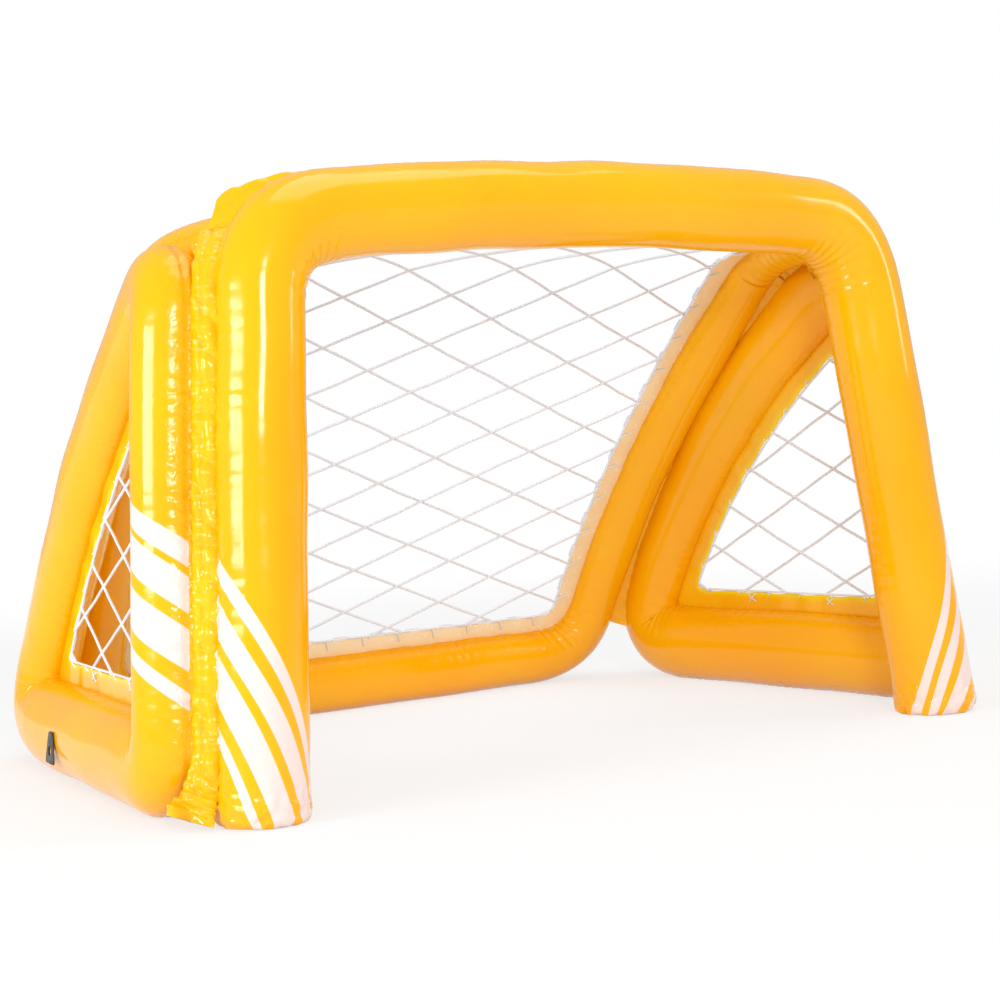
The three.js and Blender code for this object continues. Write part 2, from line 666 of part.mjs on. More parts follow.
// A whip stitch: through a hole in the flange, across the net's border, down through a gap of it and back
function lacing(loop, gaps, place) {
  const length = loop.reduce((sum, p, i) => sum + p.distanceTo(loop[(i + 1) % loop.length]), 0);
  const turns = Math.round(length / laceStitchLength);
  const stations = [];
  const guides = [];
  const holes = [];
  for (let k = 0; k < turns; k += 1) {
    const outside = loopAt(loop, (length * (k + 1 / 4)) / turns);
    const choices = stitchShares.map((share) => loopAt(loop, (length * (k + share)) / turns));
    const below = ({ spot, inward }) => spot.clone().addScaledVector(inward, laceInset);
    const rooms = choices.map((choice) => roomInGaps(below(choice), gaps));
    const near = rooms.findIndex((room) => room > laceRadius * Math.SQRT2 + fitGap);
    const inside = choices[near < 0 ? rooms.indexOf(Math.max(...rooms)) : near];
    for (const [{ spot, inward }, reach, height] of [
      [outside, -laceInset, -laceHeight],
      [outside, -laceInset, laceHeight],
      [inside, laceInset, laceHeight],
      [inside, laceInset, -laceHeight],
    ]) {
      const stitch = spot.clone().addScaledVector(inward, reach);
      const point = place(stitch.x, stitch.y, height);
      const beyond = stitch.clone().add(inward);
      guides.push(place(beyond.x, beyond.y, height).sub(point).normalize());
      stations.push({ point, half: [laceRadius, laceRadius * Math.SQRT2] });
    }
    const { spot, run, inward } = outside;
    const centre = spot.clone().addScaledVector(inward, -laceInset);
    holes.push(squareOutline.map(([a, b]) => {
      const edge = centre.clone().addScaledVector(run, a * laceHoleHalf);
      return edge.addScaledVector(inward, b * laceHoleHalf);
    }));
  }
  return { stations, guides, holes };
}

// The smallest distance between parts of a cord that don't follow each other, less its thickness
function leastGap(stations) {
  const apart = 3;
  let least = Infinity;
  stations.forEach(({ point }, i) => {
    for (let j = i + apart; j < stations.length + Math.min(i - apart, 0); j += 1) {
      least = Math.min(least, point.distanceTo(stations[j].point));
    }
  });
  return least - 2 * laceRadius;
}

function flangedNet(name, opening, cells, place, blank, longest) {
  const netOutline = roundedOutline(opening(fitGap), openingRadius);
  const netInside = roundedOutline(opening(fitGap + borderWidth), openingRadius);
  const gaps = netGaps(netInside, cells);
  const { stations, guides, holes } = lacing(roundedOutline(opening(0), openingRadius), gaps, place);
  const cutters = holes.map((outline) => carried(slab(new THREE.Shape(outline), 2 * flangeThickness), place));
  const openings = gaps.map((gap) => slab(new THREE.Shape(gap), 2 * netThickness));
  const cord = (grow) => sweep(stations, (i) => guides[i], roundOutline(cordSides), true, grow);
  const net = carried(cut(slab(new THREE.Shape(netOutline), netThickness), openings), place, longest);
  addPiece(`${name}_net`, net, netCord);
  addPiece(`${name}_lacing`, cord(0), netCord);
  console.log(`${name} lacing: least gap to itself ${leastGap(stations).toFixed(1)} mm`);
  return without(blank, [...chambers, ...cutters, cord(fitGap)]);
}

// The rear opening follows the rear chamber's sloping axis, straight across from side to side
const profile = [...rearTipBend.slice(0, -1), ...rearSlope, rearCorner].map((p) => flat(p.y, p.z));
const profileStarts = [0];
profile.slice(1).forEach((p, k) => profileStarts.push(profileStarts[k] + p.distanceTo(profile[k])));
const profileLength = profileStarts[profile.length - 1];

function profileAt(distance) {
  const next = profileStarts.findIndex((start, i) => i > 0 && start >= distance);
  const i = next < 0 ? profile.length - 1 : next;
  const share = (distance - profileStarts[i - 1]) / (profileStarts[i] - profileStarts[i - 1]);
  return profile[i - 1].clone().lerp(profile[i], share);
}

function rearPlace(x, s, height) {
  const step = flangeWidth / 2;
  const spot = profileAt(s);
  const run = profileAt(s + step).sub(profileAt(s - step)).normalize();
  return at(x, spot.x - run.y * height, spot.y + run.x * height);
}

const rearTopEdge = frontRadius - rearTipDepth + flangeWidth;
const rearBottomEdge = profileLength - rearBarRadius - flangeWidth;
const openingTopHalf = rearTop.x - rearRadius - flangeWidth;
const openingFootHalf = rearCorner.x - rearRadius - flangeWidth;

// The right side of the opening from top to bottom, a little bowed, in stretches short enough to bend
const openingSide = Array.from({ length: openingSteps + 1 }, (_, k) => {
  const share = (k / openingSteps) ** (3 / 2);
  const across = openingTopHalf + (openingFootHalf - openingTopHalf) * share;
  const down = rearTopEdge + (rearBottomEdge - rearTopEdge) * share;
  return flat(across + openingBow * 4 * share * (1 - share), down);
});
const rearOpening = [...openingSide, ...openingSide.map((p) => flat(-p.x, p.y)).reverse()];

function rearCells() {
  const cells = [];
  const columns = Math.ceil(rearTop.x / meshWidth) + 1;
  let row = 0;
  for (let s = rearMeshStart; s < profileLength; row += 1) {
    const halfHeight = rearMeshHeight / 2 - rearMeshShrink * (row / 2);
    for (let column = -columns; column <= columns; column += 1) {
      const x = rearMeshShift + meshWidth * (column + (row % 2) / 2);
      cells.push({ x, y: s, halfWidth: meshWidth / 2, halfHeight });
    }
    s += halfHeight;
  }
  return cells;
}

const rearOuter = rearOpening.map((_, i) => {
  const isFoot = i === openingSteps;
  const isTop = i === rearOpening.length - 1;
  const radius = isFoot ? rearBarRadius : rearRadius;
  return -(flangeWidth + (isTop ? frontRadius : radius) / 2);
});
const rearEdges = [rearOpening, insetOutline(rearOpening, rearOuter)];
const rearLoops = rearEdges.map((corners) => roundedOutline(corners, openingRadius));
const rearBlank = band(...rearLoops, flangeThickness, rearPlace);
const rearInset = (distance) => insetOutline(rearOpening, [distance]);
const longestBend = rearMeshHeight * netBendShare;
const bandAround = flangedNet('rear', rearInset, rearCells(), rearPlace, rearBlank, longestBend);
const splitDepth = postLean + frontRadius + flangeWidth + flangeSplitMargin;
const frontPart = (edge) => block(at(-reachOut, -reachOut, 0), at(reachOut, edge, reachOut));
addPiece('crossbar_flange', largest(bandAround.intersect(frontPart(splitDepth))), weldedVinyl);
addPiece('rear_flange', cut(bandAround, [frontPart(splitDepth + fitGap)]), weldedVinyl);

// The side openings lie flat in the planes of the side chambers
const ringAlong = direction(ringFront, ringBack);
const ringUp = ringAlong.clone().cross(ringNormal);
if (ringUp.z < 0) {
  ringUp.negate();
}
const inRing = (point) => {
  const away = point.clone().sub(ringFront);
  return flat(away.dot(ringAlong), away.dot(ringUp));
};

// The lines that the opening's edge keeps its distance from: the bottom tube, the bowed tube and the post
const bowed = ringSlope.map(inRing).reverse();
const ringLines = [
  { start: flat(0, 0), run: inRing(ringBack), half: ringBottomHalf[1] },
  ...bowed.slice(1).map((p, k) => ({ start: bowed[k], run: p.clone().sub(bowed[k]), half: ringSlopeHalf[1] })),
  { start: inRing(ringTop), run: inRing(ringTop).negate(), half: ringPostHalf[1] },
];
const ringReach = ringTopHeight + ringBackDepth;

// The side opening, moved inwards from the tubes' axes by a share of their half width and by a distance
function sideOpening(share, distance) {
  const around = squareOutline.map(([a, b]) => flat(a * ringReach, b * ringReach));
  const corners = ringLines.reduce((shape, { start, run, half }) => {
    const inward = flat(-run.y, run.x).normalize();
    const moved = start.clone().addScaledVector(inward, half * share + distance);
    return clippedBy(shape, moved, run);
  }, around);
  return corners.filter((p, i) => p.distanceTo(corners[(i + 1) % corners.length]) > strandWidth);
}

function sideCells() {
  const cells = [];
  const columns = Math.ceil(ringReach / meshWidth);
  const rows = Math.ceil((2 * ringReach) / sideMeshHeight);
  for (let row = -rows; row <= rows; row += 1) {
    for (let column = -columns; column <= columns; column += 1) {
      const x = sideMeshStart[0] + meshWidth * (column + (row % 2 === 0 ? 1 / 2 : 0));
      const y = sideMeshStart[1] + (sideMeshHeight / 2) * row;
      cells.push({ x, y, halfWidth: meshWidth / 2, halfHeight: sideMeshHeight / 2 });
    }
  }
  return cells;
}

for (const [name, side] of [['left', -1], ['right', 1]]) {
  const place = (u, v, height) => {
    const point = ringFront.clone().addScaledVector(ringAlong, u).addScaledVector(ringUp, v);
    return onSide(point.addScaledVector(ringNormal, height), side);
  };
  const whole = new THREE.Shape(sideOpening(1 / 2, 0));
  const hole = new THREE.Shape(roundedOutline(sideOpening(1, flangeWidth), openingRadius));
  const blank = carried(slab(whole, flangeThickness).subtract(slab(hole, 2 * flangeThickness)), place);
  const inset = (distance) => sideOpening(1, flangeWidth + distance);
  addPiece(`${name}_flange`, largest(flangedNet(name, inset, sideCells(), place, blank)), weldedVinyl);
}

// Tether tabs lie against the outermost line of the side chambers' bottom tubes
for (const [name, side] of [['left', -1], ['right', 1]]) {
  const outside = ringNormal.x > 0 ? 1 : -1;
  const stand = ringBottomHalf[0] + fitGap + tabThickness / 2;
  const place = (u, v, height) => {
    const point = ringFront.clone().addScaledVector(ringAlong, tabAlong + u).addScaledVector(ringUp, v);
    return onSide(point.addScaledVector(ringNormal, outside * (stand + height)), side);
  };
  const shape = new THREE.Shape([
    flat(-tabFootHalfWidth, -tabBelow),
    flat(tabFootHalfWidth, -tabBelow),
    flat(tabTopHalfWidth, tabAbove),
    flat(-tabTopHalfWidth, tabAbove),
  ]);
  const eye = roundOutline(turnedSides).map(([a, b]) => flat(a * tabEyeRadius, b * tabEyeRadius - tabEyeBelow));
  shape.holes.push(new THREE.Path(eye));
  addPiece(`${name}_tether_tab`, carried(slab(shape, tabThickness), place), blackPlastic);
}

for (const [name, [seat, outward]] of Object.entries(valves)) {
  addValve(name, seat, outward);
}

// The goal's origin is the middle of its footprint, on the ground
const extent = new THREE.Box3().setFromObject(goal);
goal.position.y = -(extent.min.y + extent.max.y) / 2;

export default goal;
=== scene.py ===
# Looks of the inflatable water polo goal: a finer piece, made here with numpy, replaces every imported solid.
# Metres, +Z up, front to -Y. Paths are worked out with the front feet's axes at y = 0, and addPiece moves
# every point back by `middle`.
import math

import bpy
import numpy as np
from mathutils import Matrix, Vector


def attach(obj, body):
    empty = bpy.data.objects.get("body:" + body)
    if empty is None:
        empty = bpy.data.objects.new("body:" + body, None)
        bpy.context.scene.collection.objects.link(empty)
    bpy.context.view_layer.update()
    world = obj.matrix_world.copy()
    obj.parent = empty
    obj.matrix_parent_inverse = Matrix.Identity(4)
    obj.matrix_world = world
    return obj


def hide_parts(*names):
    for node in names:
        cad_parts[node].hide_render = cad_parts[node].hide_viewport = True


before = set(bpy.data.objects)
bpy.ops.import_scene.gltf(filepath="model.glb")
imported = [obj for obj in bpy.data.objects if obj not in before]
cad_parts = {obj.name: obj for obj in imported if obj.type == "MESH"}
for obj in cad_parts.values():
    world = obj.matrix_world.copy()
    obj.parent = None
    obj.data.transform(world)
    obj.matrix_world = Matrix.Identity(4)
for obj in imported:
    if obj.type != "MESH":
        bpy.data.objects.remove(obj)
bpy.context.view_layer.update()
middle = np.array([0, -0.3926156, 0])
otherSide = np.array([-1.0, 1.0, 1.0])
toMiddle = np.array([0.0, 1.0, 1.0])

# Camera


# Where the photograph was taken from. It looks along the heading, turned from +Y, and down by the pitch, and
# its right and up are turned round that line by the roll.
def placeCamera():
    setup = {
        "place": (-1.6402, -2.6602, 0.4774),
        "heading": 0.5576,
        "pitch": 0.0337,
        "roll": -0.0549,
        "lens": 75.16,
        "sensor": 36,
        "shift": (0.023, -0.0163),
        "farthest": 60,
    }
    a, p, r = setup["heading"], setup["pitch"], setup["roll"]
    ahead = Vector((math.sin(a) * math.cos(p), math.cos(a) * math.cos(p), -math.sin(p)))
    level = Vector((math.cos(a), -math.sin(a), 0))
    above = level.cross(ahead)
    right = math.cos(r) * level + math.sin(r) * above
    up = -math.sin(r) * level + math.cos(r) * above
    data = bpy.data.cameras.new("photoCamera")
    data.lens = setup["lens"]
    data.sensor_width = setup["sensor"]
    data.shift_x, data.shift_y = setup["shift"]
    data.clip_end = setup["farthest"]
    camera = bpy.data.objects.new("photoCamera", data)
    turn = Matrix((right, up, -ahead)).transposed().to_4x4()
    camera.matrix_world = Matrix.Translation(setup["place"]) @ turn
    bpy.context.scene.collection.objects.link(camera)
    bpy.context.scene.camera = camera


placeCamera()
print("stage: camera")

# Small mathematics on whole arrays


# The given values as one row
def vec(*values):
    return np.array(values, float)


# Each row's direction: v / |v|
def unit(v):
    return v / np.maximum(np.linalg.norm(v, axis=-1, keepdims=True), 1e-12)


# Each pair of rows multiplied and added up
def dot(a, b):
    return (a * b).sum(-1, keepdims=True)


# The point at a distance from a on the way to b
def toward(a, b, distance):
    return a + unit(b - a) * distance


# A straight run: a + (b - a) t
def straight(a, b, count=60):
    t = np.linspace(0, 1, count)[:, None]
    return a + (b - a) * t


# A bent run: (1 - t)^2 a + 2 t (1 - t) b + t^2 c
def bent(a, b, c, count=80):
    t = np.linspace(0, 1, count)[:, None]
    return (1 - t) ** 2 * a + 2 * t * (1 - t) * b + t * t * c


# A path's rows, and the first one again if the path is closed
def around(path, closed):
    return np.vstack([path, path[:1]]) if closed else path


# The distance travelled along a path, from zero at its start
def travelled(path, closed=False):
    steps = np.linalg.norm(np.diff(around(path, closed), axis=0), axis=1)
    return np.concatenate([[0], np.cumsum(steps)])


# The rows at given distances, straight between the rows that are known
def sampled(at, along, rows):
    return np.stack([np.interp(at, along, column) for column in rows.T], 1)


# Takes a path's rows at equal distances along it, and those of extra at the same places
def evenly(path, count, closed=False, extra=None):
    along = travelled(path, closed)
    apart = np.concatenate([[True], np.diff(along) > 1e-9])
    at = np.linspace(0, along[-1], count, endpoint=not closed)
    points = sampled(at, along[apart], around(path, closed)[apart])
    if extra is None:
        return points
    return points, sampled(at, along[apart], around(extra, closed)[apart])


# Smooths a closed loop's rows: each becomes the mean of its neighbours under a bell, width rows wide
def softened(loop, width):
    reach = int(3 * width)
    bell = np.exp(-0.5 * (np.arange(-reach, reach + 1) / width) ** 2)
    bell /= bell.sum()
    return sum(share * np.roll(loop, k - reach, axis=0) for k, share in enumerate(bell))


# Sine waves of about the given length in random directions, added up: sum of sin(2 pi d.p / length + phase)
def waves(points, length, seed, count=9):
    rng = np.random.default_rng(seed)
    points = np.asarray(points, float)
    points = points if points.ndim > 1 else points[:, None]
    turns = unit(rng.normal(size=(count, points.shape[-1]))) / (length * rng.uniform(0.7, 1.45, (count, 1)))
    return np.sin(2 * np.pi * (points @ turns.T) + rng.uniform(0, 6.28, count)).sum(-1) / math.sqrt(count)


# A fold that is sharp at the bottom and round on top: |sin(pi x)|
def fold(x):
    return np.abs(np.sin(np.pi * x))


# A wave pushed towards a square one: sign(x) |x|^power
def blocky(x, power):
    return np.sign(x) * np.abs(x) ** power


# The shortest way round between two angles
def turnBetween(a, b):
    return (a - b + np.pi) % (2 * np.pi) - np.pi


# Meshes from grids


# Quads of a grid: each joins point (i, j) to (i + 1, j + 1), and on to the start where the surface closes.
# Copies are further grids of the same size, whose points follow the first one's.
def gridFaces(rows, columns, wrapRows, wrapColumns, copies=1):
    i = np.arange(rows if wrapRows else rows - 1)[:, None]
    j = np.arange(columns if wrapColumns else columns - 1)[None]
    here, across = i * columns + j, i * columns + (j + 1) % columns
    beyond, along = (i + 1) % rows * columns + (j + 1) % columns, (i + 1) % rows * columns + j
    quads = np.stack([here, across, beyond, along], -1).reshape(-1, 4)
    return (quads[None] + (np.arange(copies) * rows * columns)[:, None, None]).reshape(-1, 4)


# Makes an object, smooth all over: its points moved back by `middle`, x turned to -x if it is mirrored, its
# values per point, its UV map, and what it rides on, replaces and wears. A finish is a material and a slot
# name, of which only the material is put on the piece.
def addPiece(name, points, faces, finish, node, body="goal", uv=None, layers=None, mirrored=False):
    points = np.asarray(points, float).reshape(-1, 3) + middle
    faces = [f[:, ::-1] if mirrored else f for f in faces]
    points = points * otherSide if mirrored else points
    mesh = bpy.data.meshes.new(name)
    corners = np.concatenate([f.ravel() for f in faces])
    sizes = np.concatenate([np.full(len(f), f.shape[1]) for f in faces])
    mesh.vertices.add(len(points))
    mesh.vertices.foreach_set("co", points.astype(np.float32).ravel())
    mesh.loops.add(len(corners))
    mesh.polygons.add(len(sizes))
    mesh.polygons.foreach_set("loop_start", np.concatenate([[0], np.cumsum(sizes)[:-1]]).astype(np.int32))
    mesh.loops.foreach_set("vertex_index", corners.astype(np.int32))
    mesh.update(calc_edges=True)
    mesh.validate()
    mesh.polygons.foreach_set("use_smooth", np.ones(len(mesh.polygons), bool))
    for label, values in (layers or {}).items():
        layer = mesh.attributes.new(label, "FLOAT", "POINT")
        padded = np.zeros(len(points), np.float32)
        padded[: values.size] = values.ravel()
        layer.data.foreach_set("value", padded)
    if uv is not None:
        order = np.empty(len(mesh.loops), np.int32)
        mesh.loops.foreach_get("vertex_index", order)
        padded = np.zeros((len(points), 2), np.float32)
        padded[: uv.size // 2] = uv.reshape(-1, 2)
        mesh.uv_layers.new(name="UVMap").data.foreach_set("uv", padded[order].ravel())
    mesh.materials.append(finish[0])
    piece = bpy.data.objects.new(name, mesh)
    bpy.context.scene.collection.objects.link(piece)
    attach(piece, body)
    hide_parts(node)


# Directions along, first and second at each row of a path: first follows the guide, second = along x first
def axesOf(path, guide, closed=False):
    if closed:
        along = unit(np.roll(path, -1, -2) - np.roll(path, 1, -2))
    else:
        along = unit(np.gradient(path, axis=-2))
    first = unit(guide - along * dot(guide, along))
    return along, first, np.cross(along, first)


# How a path bends at each row: the change of its direction over the distance
def bendingOf(path, along, closed):
    if closed:
        change = np.roll(along, -1, -2) - np.roll(along, 1, -2)
        step = np.roll(path, -1, -2) - np.roll(path, 1, -2)
    else:
        change, step = np.gradient(along, axis=-2), np.gradient(path, axis=-2)
    return change / np.maximum(np.linalg.norm(step, axis=-1, keepdims=True), 1e-9)


# A tube: path + first * half[0] cos(angle) + second * half[1] sin(angle). On the inside of a bend it stops
# short of the bend's centre, as a creased tube does. Gives points, outward directions and angles.
def tubeGrid(path, half, guide, sides, closed=False, crease=0.86):
    along, first, second = axesOf(path, guide, closed)
    half = np.broadcast_to(np.asarray(half, float), path.shape[:-1] + (2,))
    angle = np.linspace(0, 2 * np.pi, sides, endpoint=False)
    cos, sin = np.cos(angle)[:, None], np.sin(angle)[:, None]
    a, b = half[..., None, 0:1], half[..., None, 1:2]
    first, second = first[..., None, :], second[..., None, :]
    offset = first * a * cos + second * b * sin
    outward = unit(first * cos / a + second * sin / b)
    if crease:
        bending = bendingOf(path, along, closed)
        sharpness = np.maximum(np.linalg.norm(bending, axis=-1, keepdims=True), 1e-4)
        inner = (bending / sharpness)[..., None, :]
        limit = (crease / sharpness)[..., None, :]
        offset = offset - inner * np.maximum(dot(offset, inner) - limit, 0)
    return path[..., None, :] + offset, outward, angle


# A round cord along a path. Gives the points and the distances round it.
def cordGrid(path, radius, guide, sides, closed):
    points, _, angle = tubeGrid(path, (radius,) * 2, guide, sides, closed, crease=0)
    return points, angle * radius


# A cord's UV map: the distance along it and the distance round it
def cordMap(along, across):
    return np.stack(np.broadcast_arrays(along[..., None], across), -1).reshape(-1, 2)


# Both ends of an open tube are closed by a fan round a middle point
def capFaces(rows, columns):
    j = np.arange(columns)
    nextJ = (j + 1) % columns
    start, end, last = rows * columns, rows * columns + 1, (rows - 1) * columns
    near = np.stack([np.full(columns, start), nextJ, j], 1)
    far = np.stack([np.full(columns, end), last + j, last + nextJ], 1)
    return np.concatenate([near, far])


# An open tube's points, a middle point for each end, and the faces of both
def cappedTube(points):
    rows, columns = points.shape[:2]
    everything = np.vstack([points.reshape(-1, 3), points[0].mean(0), points[-1].mean(0)])
    return everything, [gridFaces(rows, columns, False, True), capFaces(rows, columns)]


# Several shells as one: their points follow each other, and each shell's faces count on from there
def joined(shells):
    starts = np.cumsum([0] + [len(points) for points, _ in shells])
    faces = [f + start for (_, group), start in zip(shells, starts) for f in group]
    return np.vstack([points for points, _ in shells]), faces


# Turns closed faces round if they hold a volume below zero: the sum of a . (b x c) over their triangles
def outwardFaces(points, faces):
    halves = [np.concatenate([f[:, :3], f[:, [0, 2, 3]]]) if f.shape[1] == 4 else f for f in faces]
    a, b, c = (points[np.concatenate(halves)[:, k]] for k in range(3))
    return [f[:, ::-1] for f in faces] if (a * np.cross(b, c)).sum() < 0 else faces


print("stage: tools")

# Materials


# A new material, its node tree and its shader
def newMaterial(name):
    material = bpy.data.materials.new(name)
    material.use_nodes = True
    return material, material.node_tree, material.node_tree.nodes["Principled BSDF"]


# Puts each value on its socket of the node, or links the socket that gives it
def feed(tree, node, values):
    for key, value in values.items():
        if isinstance(value, bpy.types.NodeSocket):
            tree.links.new(value, node.inputs[key])
        else:
            node.inputs[key].default_value = value


# A node with its settings and what feeds its sockets
def addNode(tree, kind, values=None, **settings):
    node = tree.nodes.new(kind)
    for key, value in settings.items():
        setattr(node, key, value)
    feed(tree, node, values or {})
    return node


# One or two values under a Math node's operation
def maths(tree, operation, *values):
    return addNode(tree, "ShaderNodeMath", dict(enumerate(values)), operation=operation).outputs[0]


# Cloudy noise from 0 to 1, scale clouds to the metre
def noise(tree, coords, scale, detail=3, roughness=0.5, distortion=0):
    values = {"Vector": coords, "Scale": scale, "Detail": detail}
    values.update({"Roughness": roughness, "Distortion": distortion})
    return addNode(tree, "ShaderNodeTexNoise", values).outputs["Fac"]


# A value between low and high, eased over to the range toLow to toHigh
def spread(tree, value, low, high, toLow=0, toHigh=1):
    values = {"Value": value, "From Min": low, "From Max": high, "To Min": toLow, "To Max": toHigh}
    return addNode(tree, "ShaderNodeMapRange", values, interpolation_type="SMOOTHSTEP").outputs["Result"]


# Colour a (1 - share) + b share. Sockets 0, 6 and 7 are the share and the two colours.
def blendColour(tree, share, a, b):
    return addNode(tree, "ShaderNodeMix", {0: share, 6: a, 7: b}, data_type="RGBA").outputs[2]


# A normal tilted by a height's slope
def bump(tree, height, strength, distance, normal=None):
    values = {"Height": height, "Strength": strength, "Distance": distance}
    if normal is not None:
        values["Normal"] = normal
    return addNode(tree, "ShaderNodeBump", values).outputs["Normal"]


# Where the point is, in metres
def objectCoords(tree):
    return addNode(tree, "ShaderNodeTexCoord").outputs["Object"]


# A value kept on the mesh
def attribute(tree, name):
    return addNode(tree, "ShaderNodeAttribute", attribute_name=name).outputs["Fac"]


vinylLook = {
    "base": (1.0, 0.49, 0.0012, 1),
    "warm": (1.0, 0.44, 0.001, 1),
    "cloudScale": 3.2,
    "stripe": (0.92, 0.74, 0.69, 1),
    "stripeEdge": 0.0007,
    # rim is painted light: the bright yellow of light shining through a flange's thin edge
    "rim": (1.0, 0.74, 0.004, 1),
    # pale and streak are painted light: a pale glow of light shining through the rear flanges, crossed by
    # white painted highlight streaks
    "pale": (1.0, 0.80, 0.52, 1),
    "streak": (1.0, 0.97, 0.92, 1),
    "streakScale": 95,
    "streakShare": 0.8,
    "roughness": (0.10, 0.22),
    "smearScale": 34,
    "crinkleScale": 70,
    "crinkleDepth": 0.0024,
    "swellScale": 14,
    "swellDepth": 0.002,
    "sockets": {
        "IOR": 1.53,
        "Specular IOR Level": 0.34,
        "Subsurface Weight": 0.12,
        "Subsurface Radius": (1.0, 0.45, 0.05),
        "Subsurface Scale": 0.02,
    },
}


# Glossy inflated vinyl: an orange yellow that varies a little, printed stripes where the stripe attribute is
# above zero, or else painted light: a bright rim where light shines through a flange's thin edge, and a pale
# backlit glow with white painted highlight streaks; and fine crinkles |noise - 0.5| that grow towards the
# welds, where the weld attribute nears one
def vinylMaterial(name, look, striped):
    material, tree, shader = newMaterial(name)
    coords = objectCoords(tree)
    cloudy = spread(tree, noise(tree, coords, look["cloudScale"]), 0.35, 0.7)
    colour = blendColour(tree, cloudy, look["base"], look["warm"])
    if striped:
        printed = spread(tree, attribute(tree, "stripe"), -look["stripeEdge"], look["stripeEdge"])
        colour = blendColour(tree, printed, colour, look["stripe"])
    else:
        # Painted light: a brighter yellow rim where light shines through the flange's thin edge
        colour = blendColour(tree, attribute(tree, "rim"), colour, look["rim"])
        # Painted light: a pale backlit glow on the rear flanges, with white painted highlight streaks
        streaky = noise(tree, coords, look["streakScale"], 3, 0.6, 1.4)
        streaks = spread(tree, streaky, 0.56, 0.66, 0, look["streakShare"])
        wearAndPaintedGlow = blendColour(tree, streaks, look["pale"], look["streak"])
        colour = blendColour(tree, attribute(tree, "pale"), colour, wearAndPaintedGlow)
    rough = spread(tree, noise(tree, coords, look["smearScale"], 4, 0.6), 0.3, 0.75, *look["roughness"])
    crinkle = noise(tree, coords, look["crinkleScale"], 3, 0.55, 0.6)
    ridged = maths(tree, "ABSOLUTE", maths(tree, "SUBTRACT", crinkle, 0.5))
    height = maths(tree, "MULTIPLY", ridged, spread(tree, attribute(tree, "weld"), 0.05, 0.8, 0.04, 1))
    swell = bump(tree, noise(tree, coords, look["swellScale"], 2), 0.25, look["swellDepth"])
    normal = bump(tree, height, 0.9, look["crinkleDepth"], swell)
    feed(tree, shader, {**look["sockets"], "Base Color": colour, "Roughness": rough, "Normal": normal})
    return material


# light and dark are tinted blue to offset the orange light that the vinyl bounces onto the white cord:
# painted light
cordLook = {
    "light": (0.90, 0.95, 1, 1), "dark": (0.80, 0.85, 0.96, 1), "twist": 900, "slant": 0.9,
    "plyDepth": 0.0004, "grainScale": 700,
    "sockets": {"Roughness": 0.7, "Sheen Weight": 0.5},
}


# Twisted white cord: slanting strands from the UV map, along u and round v
def cordMaterial(name, look):
    material, tree, shader = newMaterial(name)
    uv = addNode(tree, "ShaderNodeUVMap", uv_map="UVMap").outputs["UV"]
    place = addNode(tree, "ShaderNodeMapping", {"Vector": uv, "Rotation": (0, 0, look["slant"])}).outputs[0]
    strands = {"Vector": place, "Scale": look["twist"] / 6.28, "Distortion": 0.6}
    ply = addNode(tree, "ShaderNodeTexWave", strands).outputs["Fac"]
    mixed = maths(tree, "MULTIPLY", ply, noise(tree, objectCoords(tree), look["grainScale"], 3, 0.7))
    colour = blendColour(tree, spread(tree, mixed, 0.1, 0.5), look["dark"], look["light"])
    normal = bump(tree, ply, 0.4, look["plyDepth"])
    feed(tree, shader, {**look["sockets"], "Base Color": colour, "Normal": normal})
    return material


clearLook = {
    "dark": (0.88, 0.87, 0.82, 1), "light": (0.95, 0.94, 0.91, 1), "cloudScale": 120,
    "roughness": (0.2, 0.38), "grainScale": 260, "grainDepth": 0.0003,
    "sockets": {
        "IOR": 1.52,
        "Transmission Weight": 0.25,
        "Subsurface Weight": 0.3,
        "Subsurface Scale": 0.004,
    },
}


# Clear soft plastic: a little milky, cloudy in colour and gloss, with a fine grain
def clearMaterial(name, look):
    material, tree, shader = newMaterial(name)
    coords = objectCoords(tree)
    cloudy = noise(tree, coords, look["cloudScale"])
    colour = blendColour(tree, spread(tree, cloudy, 0.3, 0.7), look["dark"], look["light"])
    rough = spread(tree, cloudy, 0.3, 0.7, *look["roughness"])
    normal = bump(tree, noise(tree, coords, look["grainScale"], 2), 0.2, look["grainDepth"])
    feed(tree, shader, {**look["sockets"], "Base Color": colour, "Roughness": rough, "Normal": normal})
    return material


blackLook = {
    "dark": (0.012, 0.012, 0.013, 1), "wearAndPaintedGlow": (0.03, 0.03, 0.032, 1), "wearScale": 90,
    "roughness": (0.32, 0.5), "grainScale": 900, "grainDepth": 0.0002,
}


# Black plastic: cloudy wear that is paler and duller, with a fine grain
def blackMaterial(name, look):
    material, tree, shader = newMaterial(name)
    coords = objectCoords(tree)
    wearAndPaintedGlow = spread(tree, noise(tree, coords, look["wearScale"], 4), 0.4, 0.75)
    colour = blendColour(tree, wearAndPaintedGlow, look["dark"], look["wearAndPaintedGlow"])
    rough = spread(tree, wearAndPaintedGlow, 0, 1, *look["roughness"])
    normal = bump(tree, noise(tree, coords, look["grainScale"], 2), 0.35, look["grainDepth"])
    feed(tree, shader, {"Base Color": colour, "Roughness": rough, "Normal": normal})
    return material


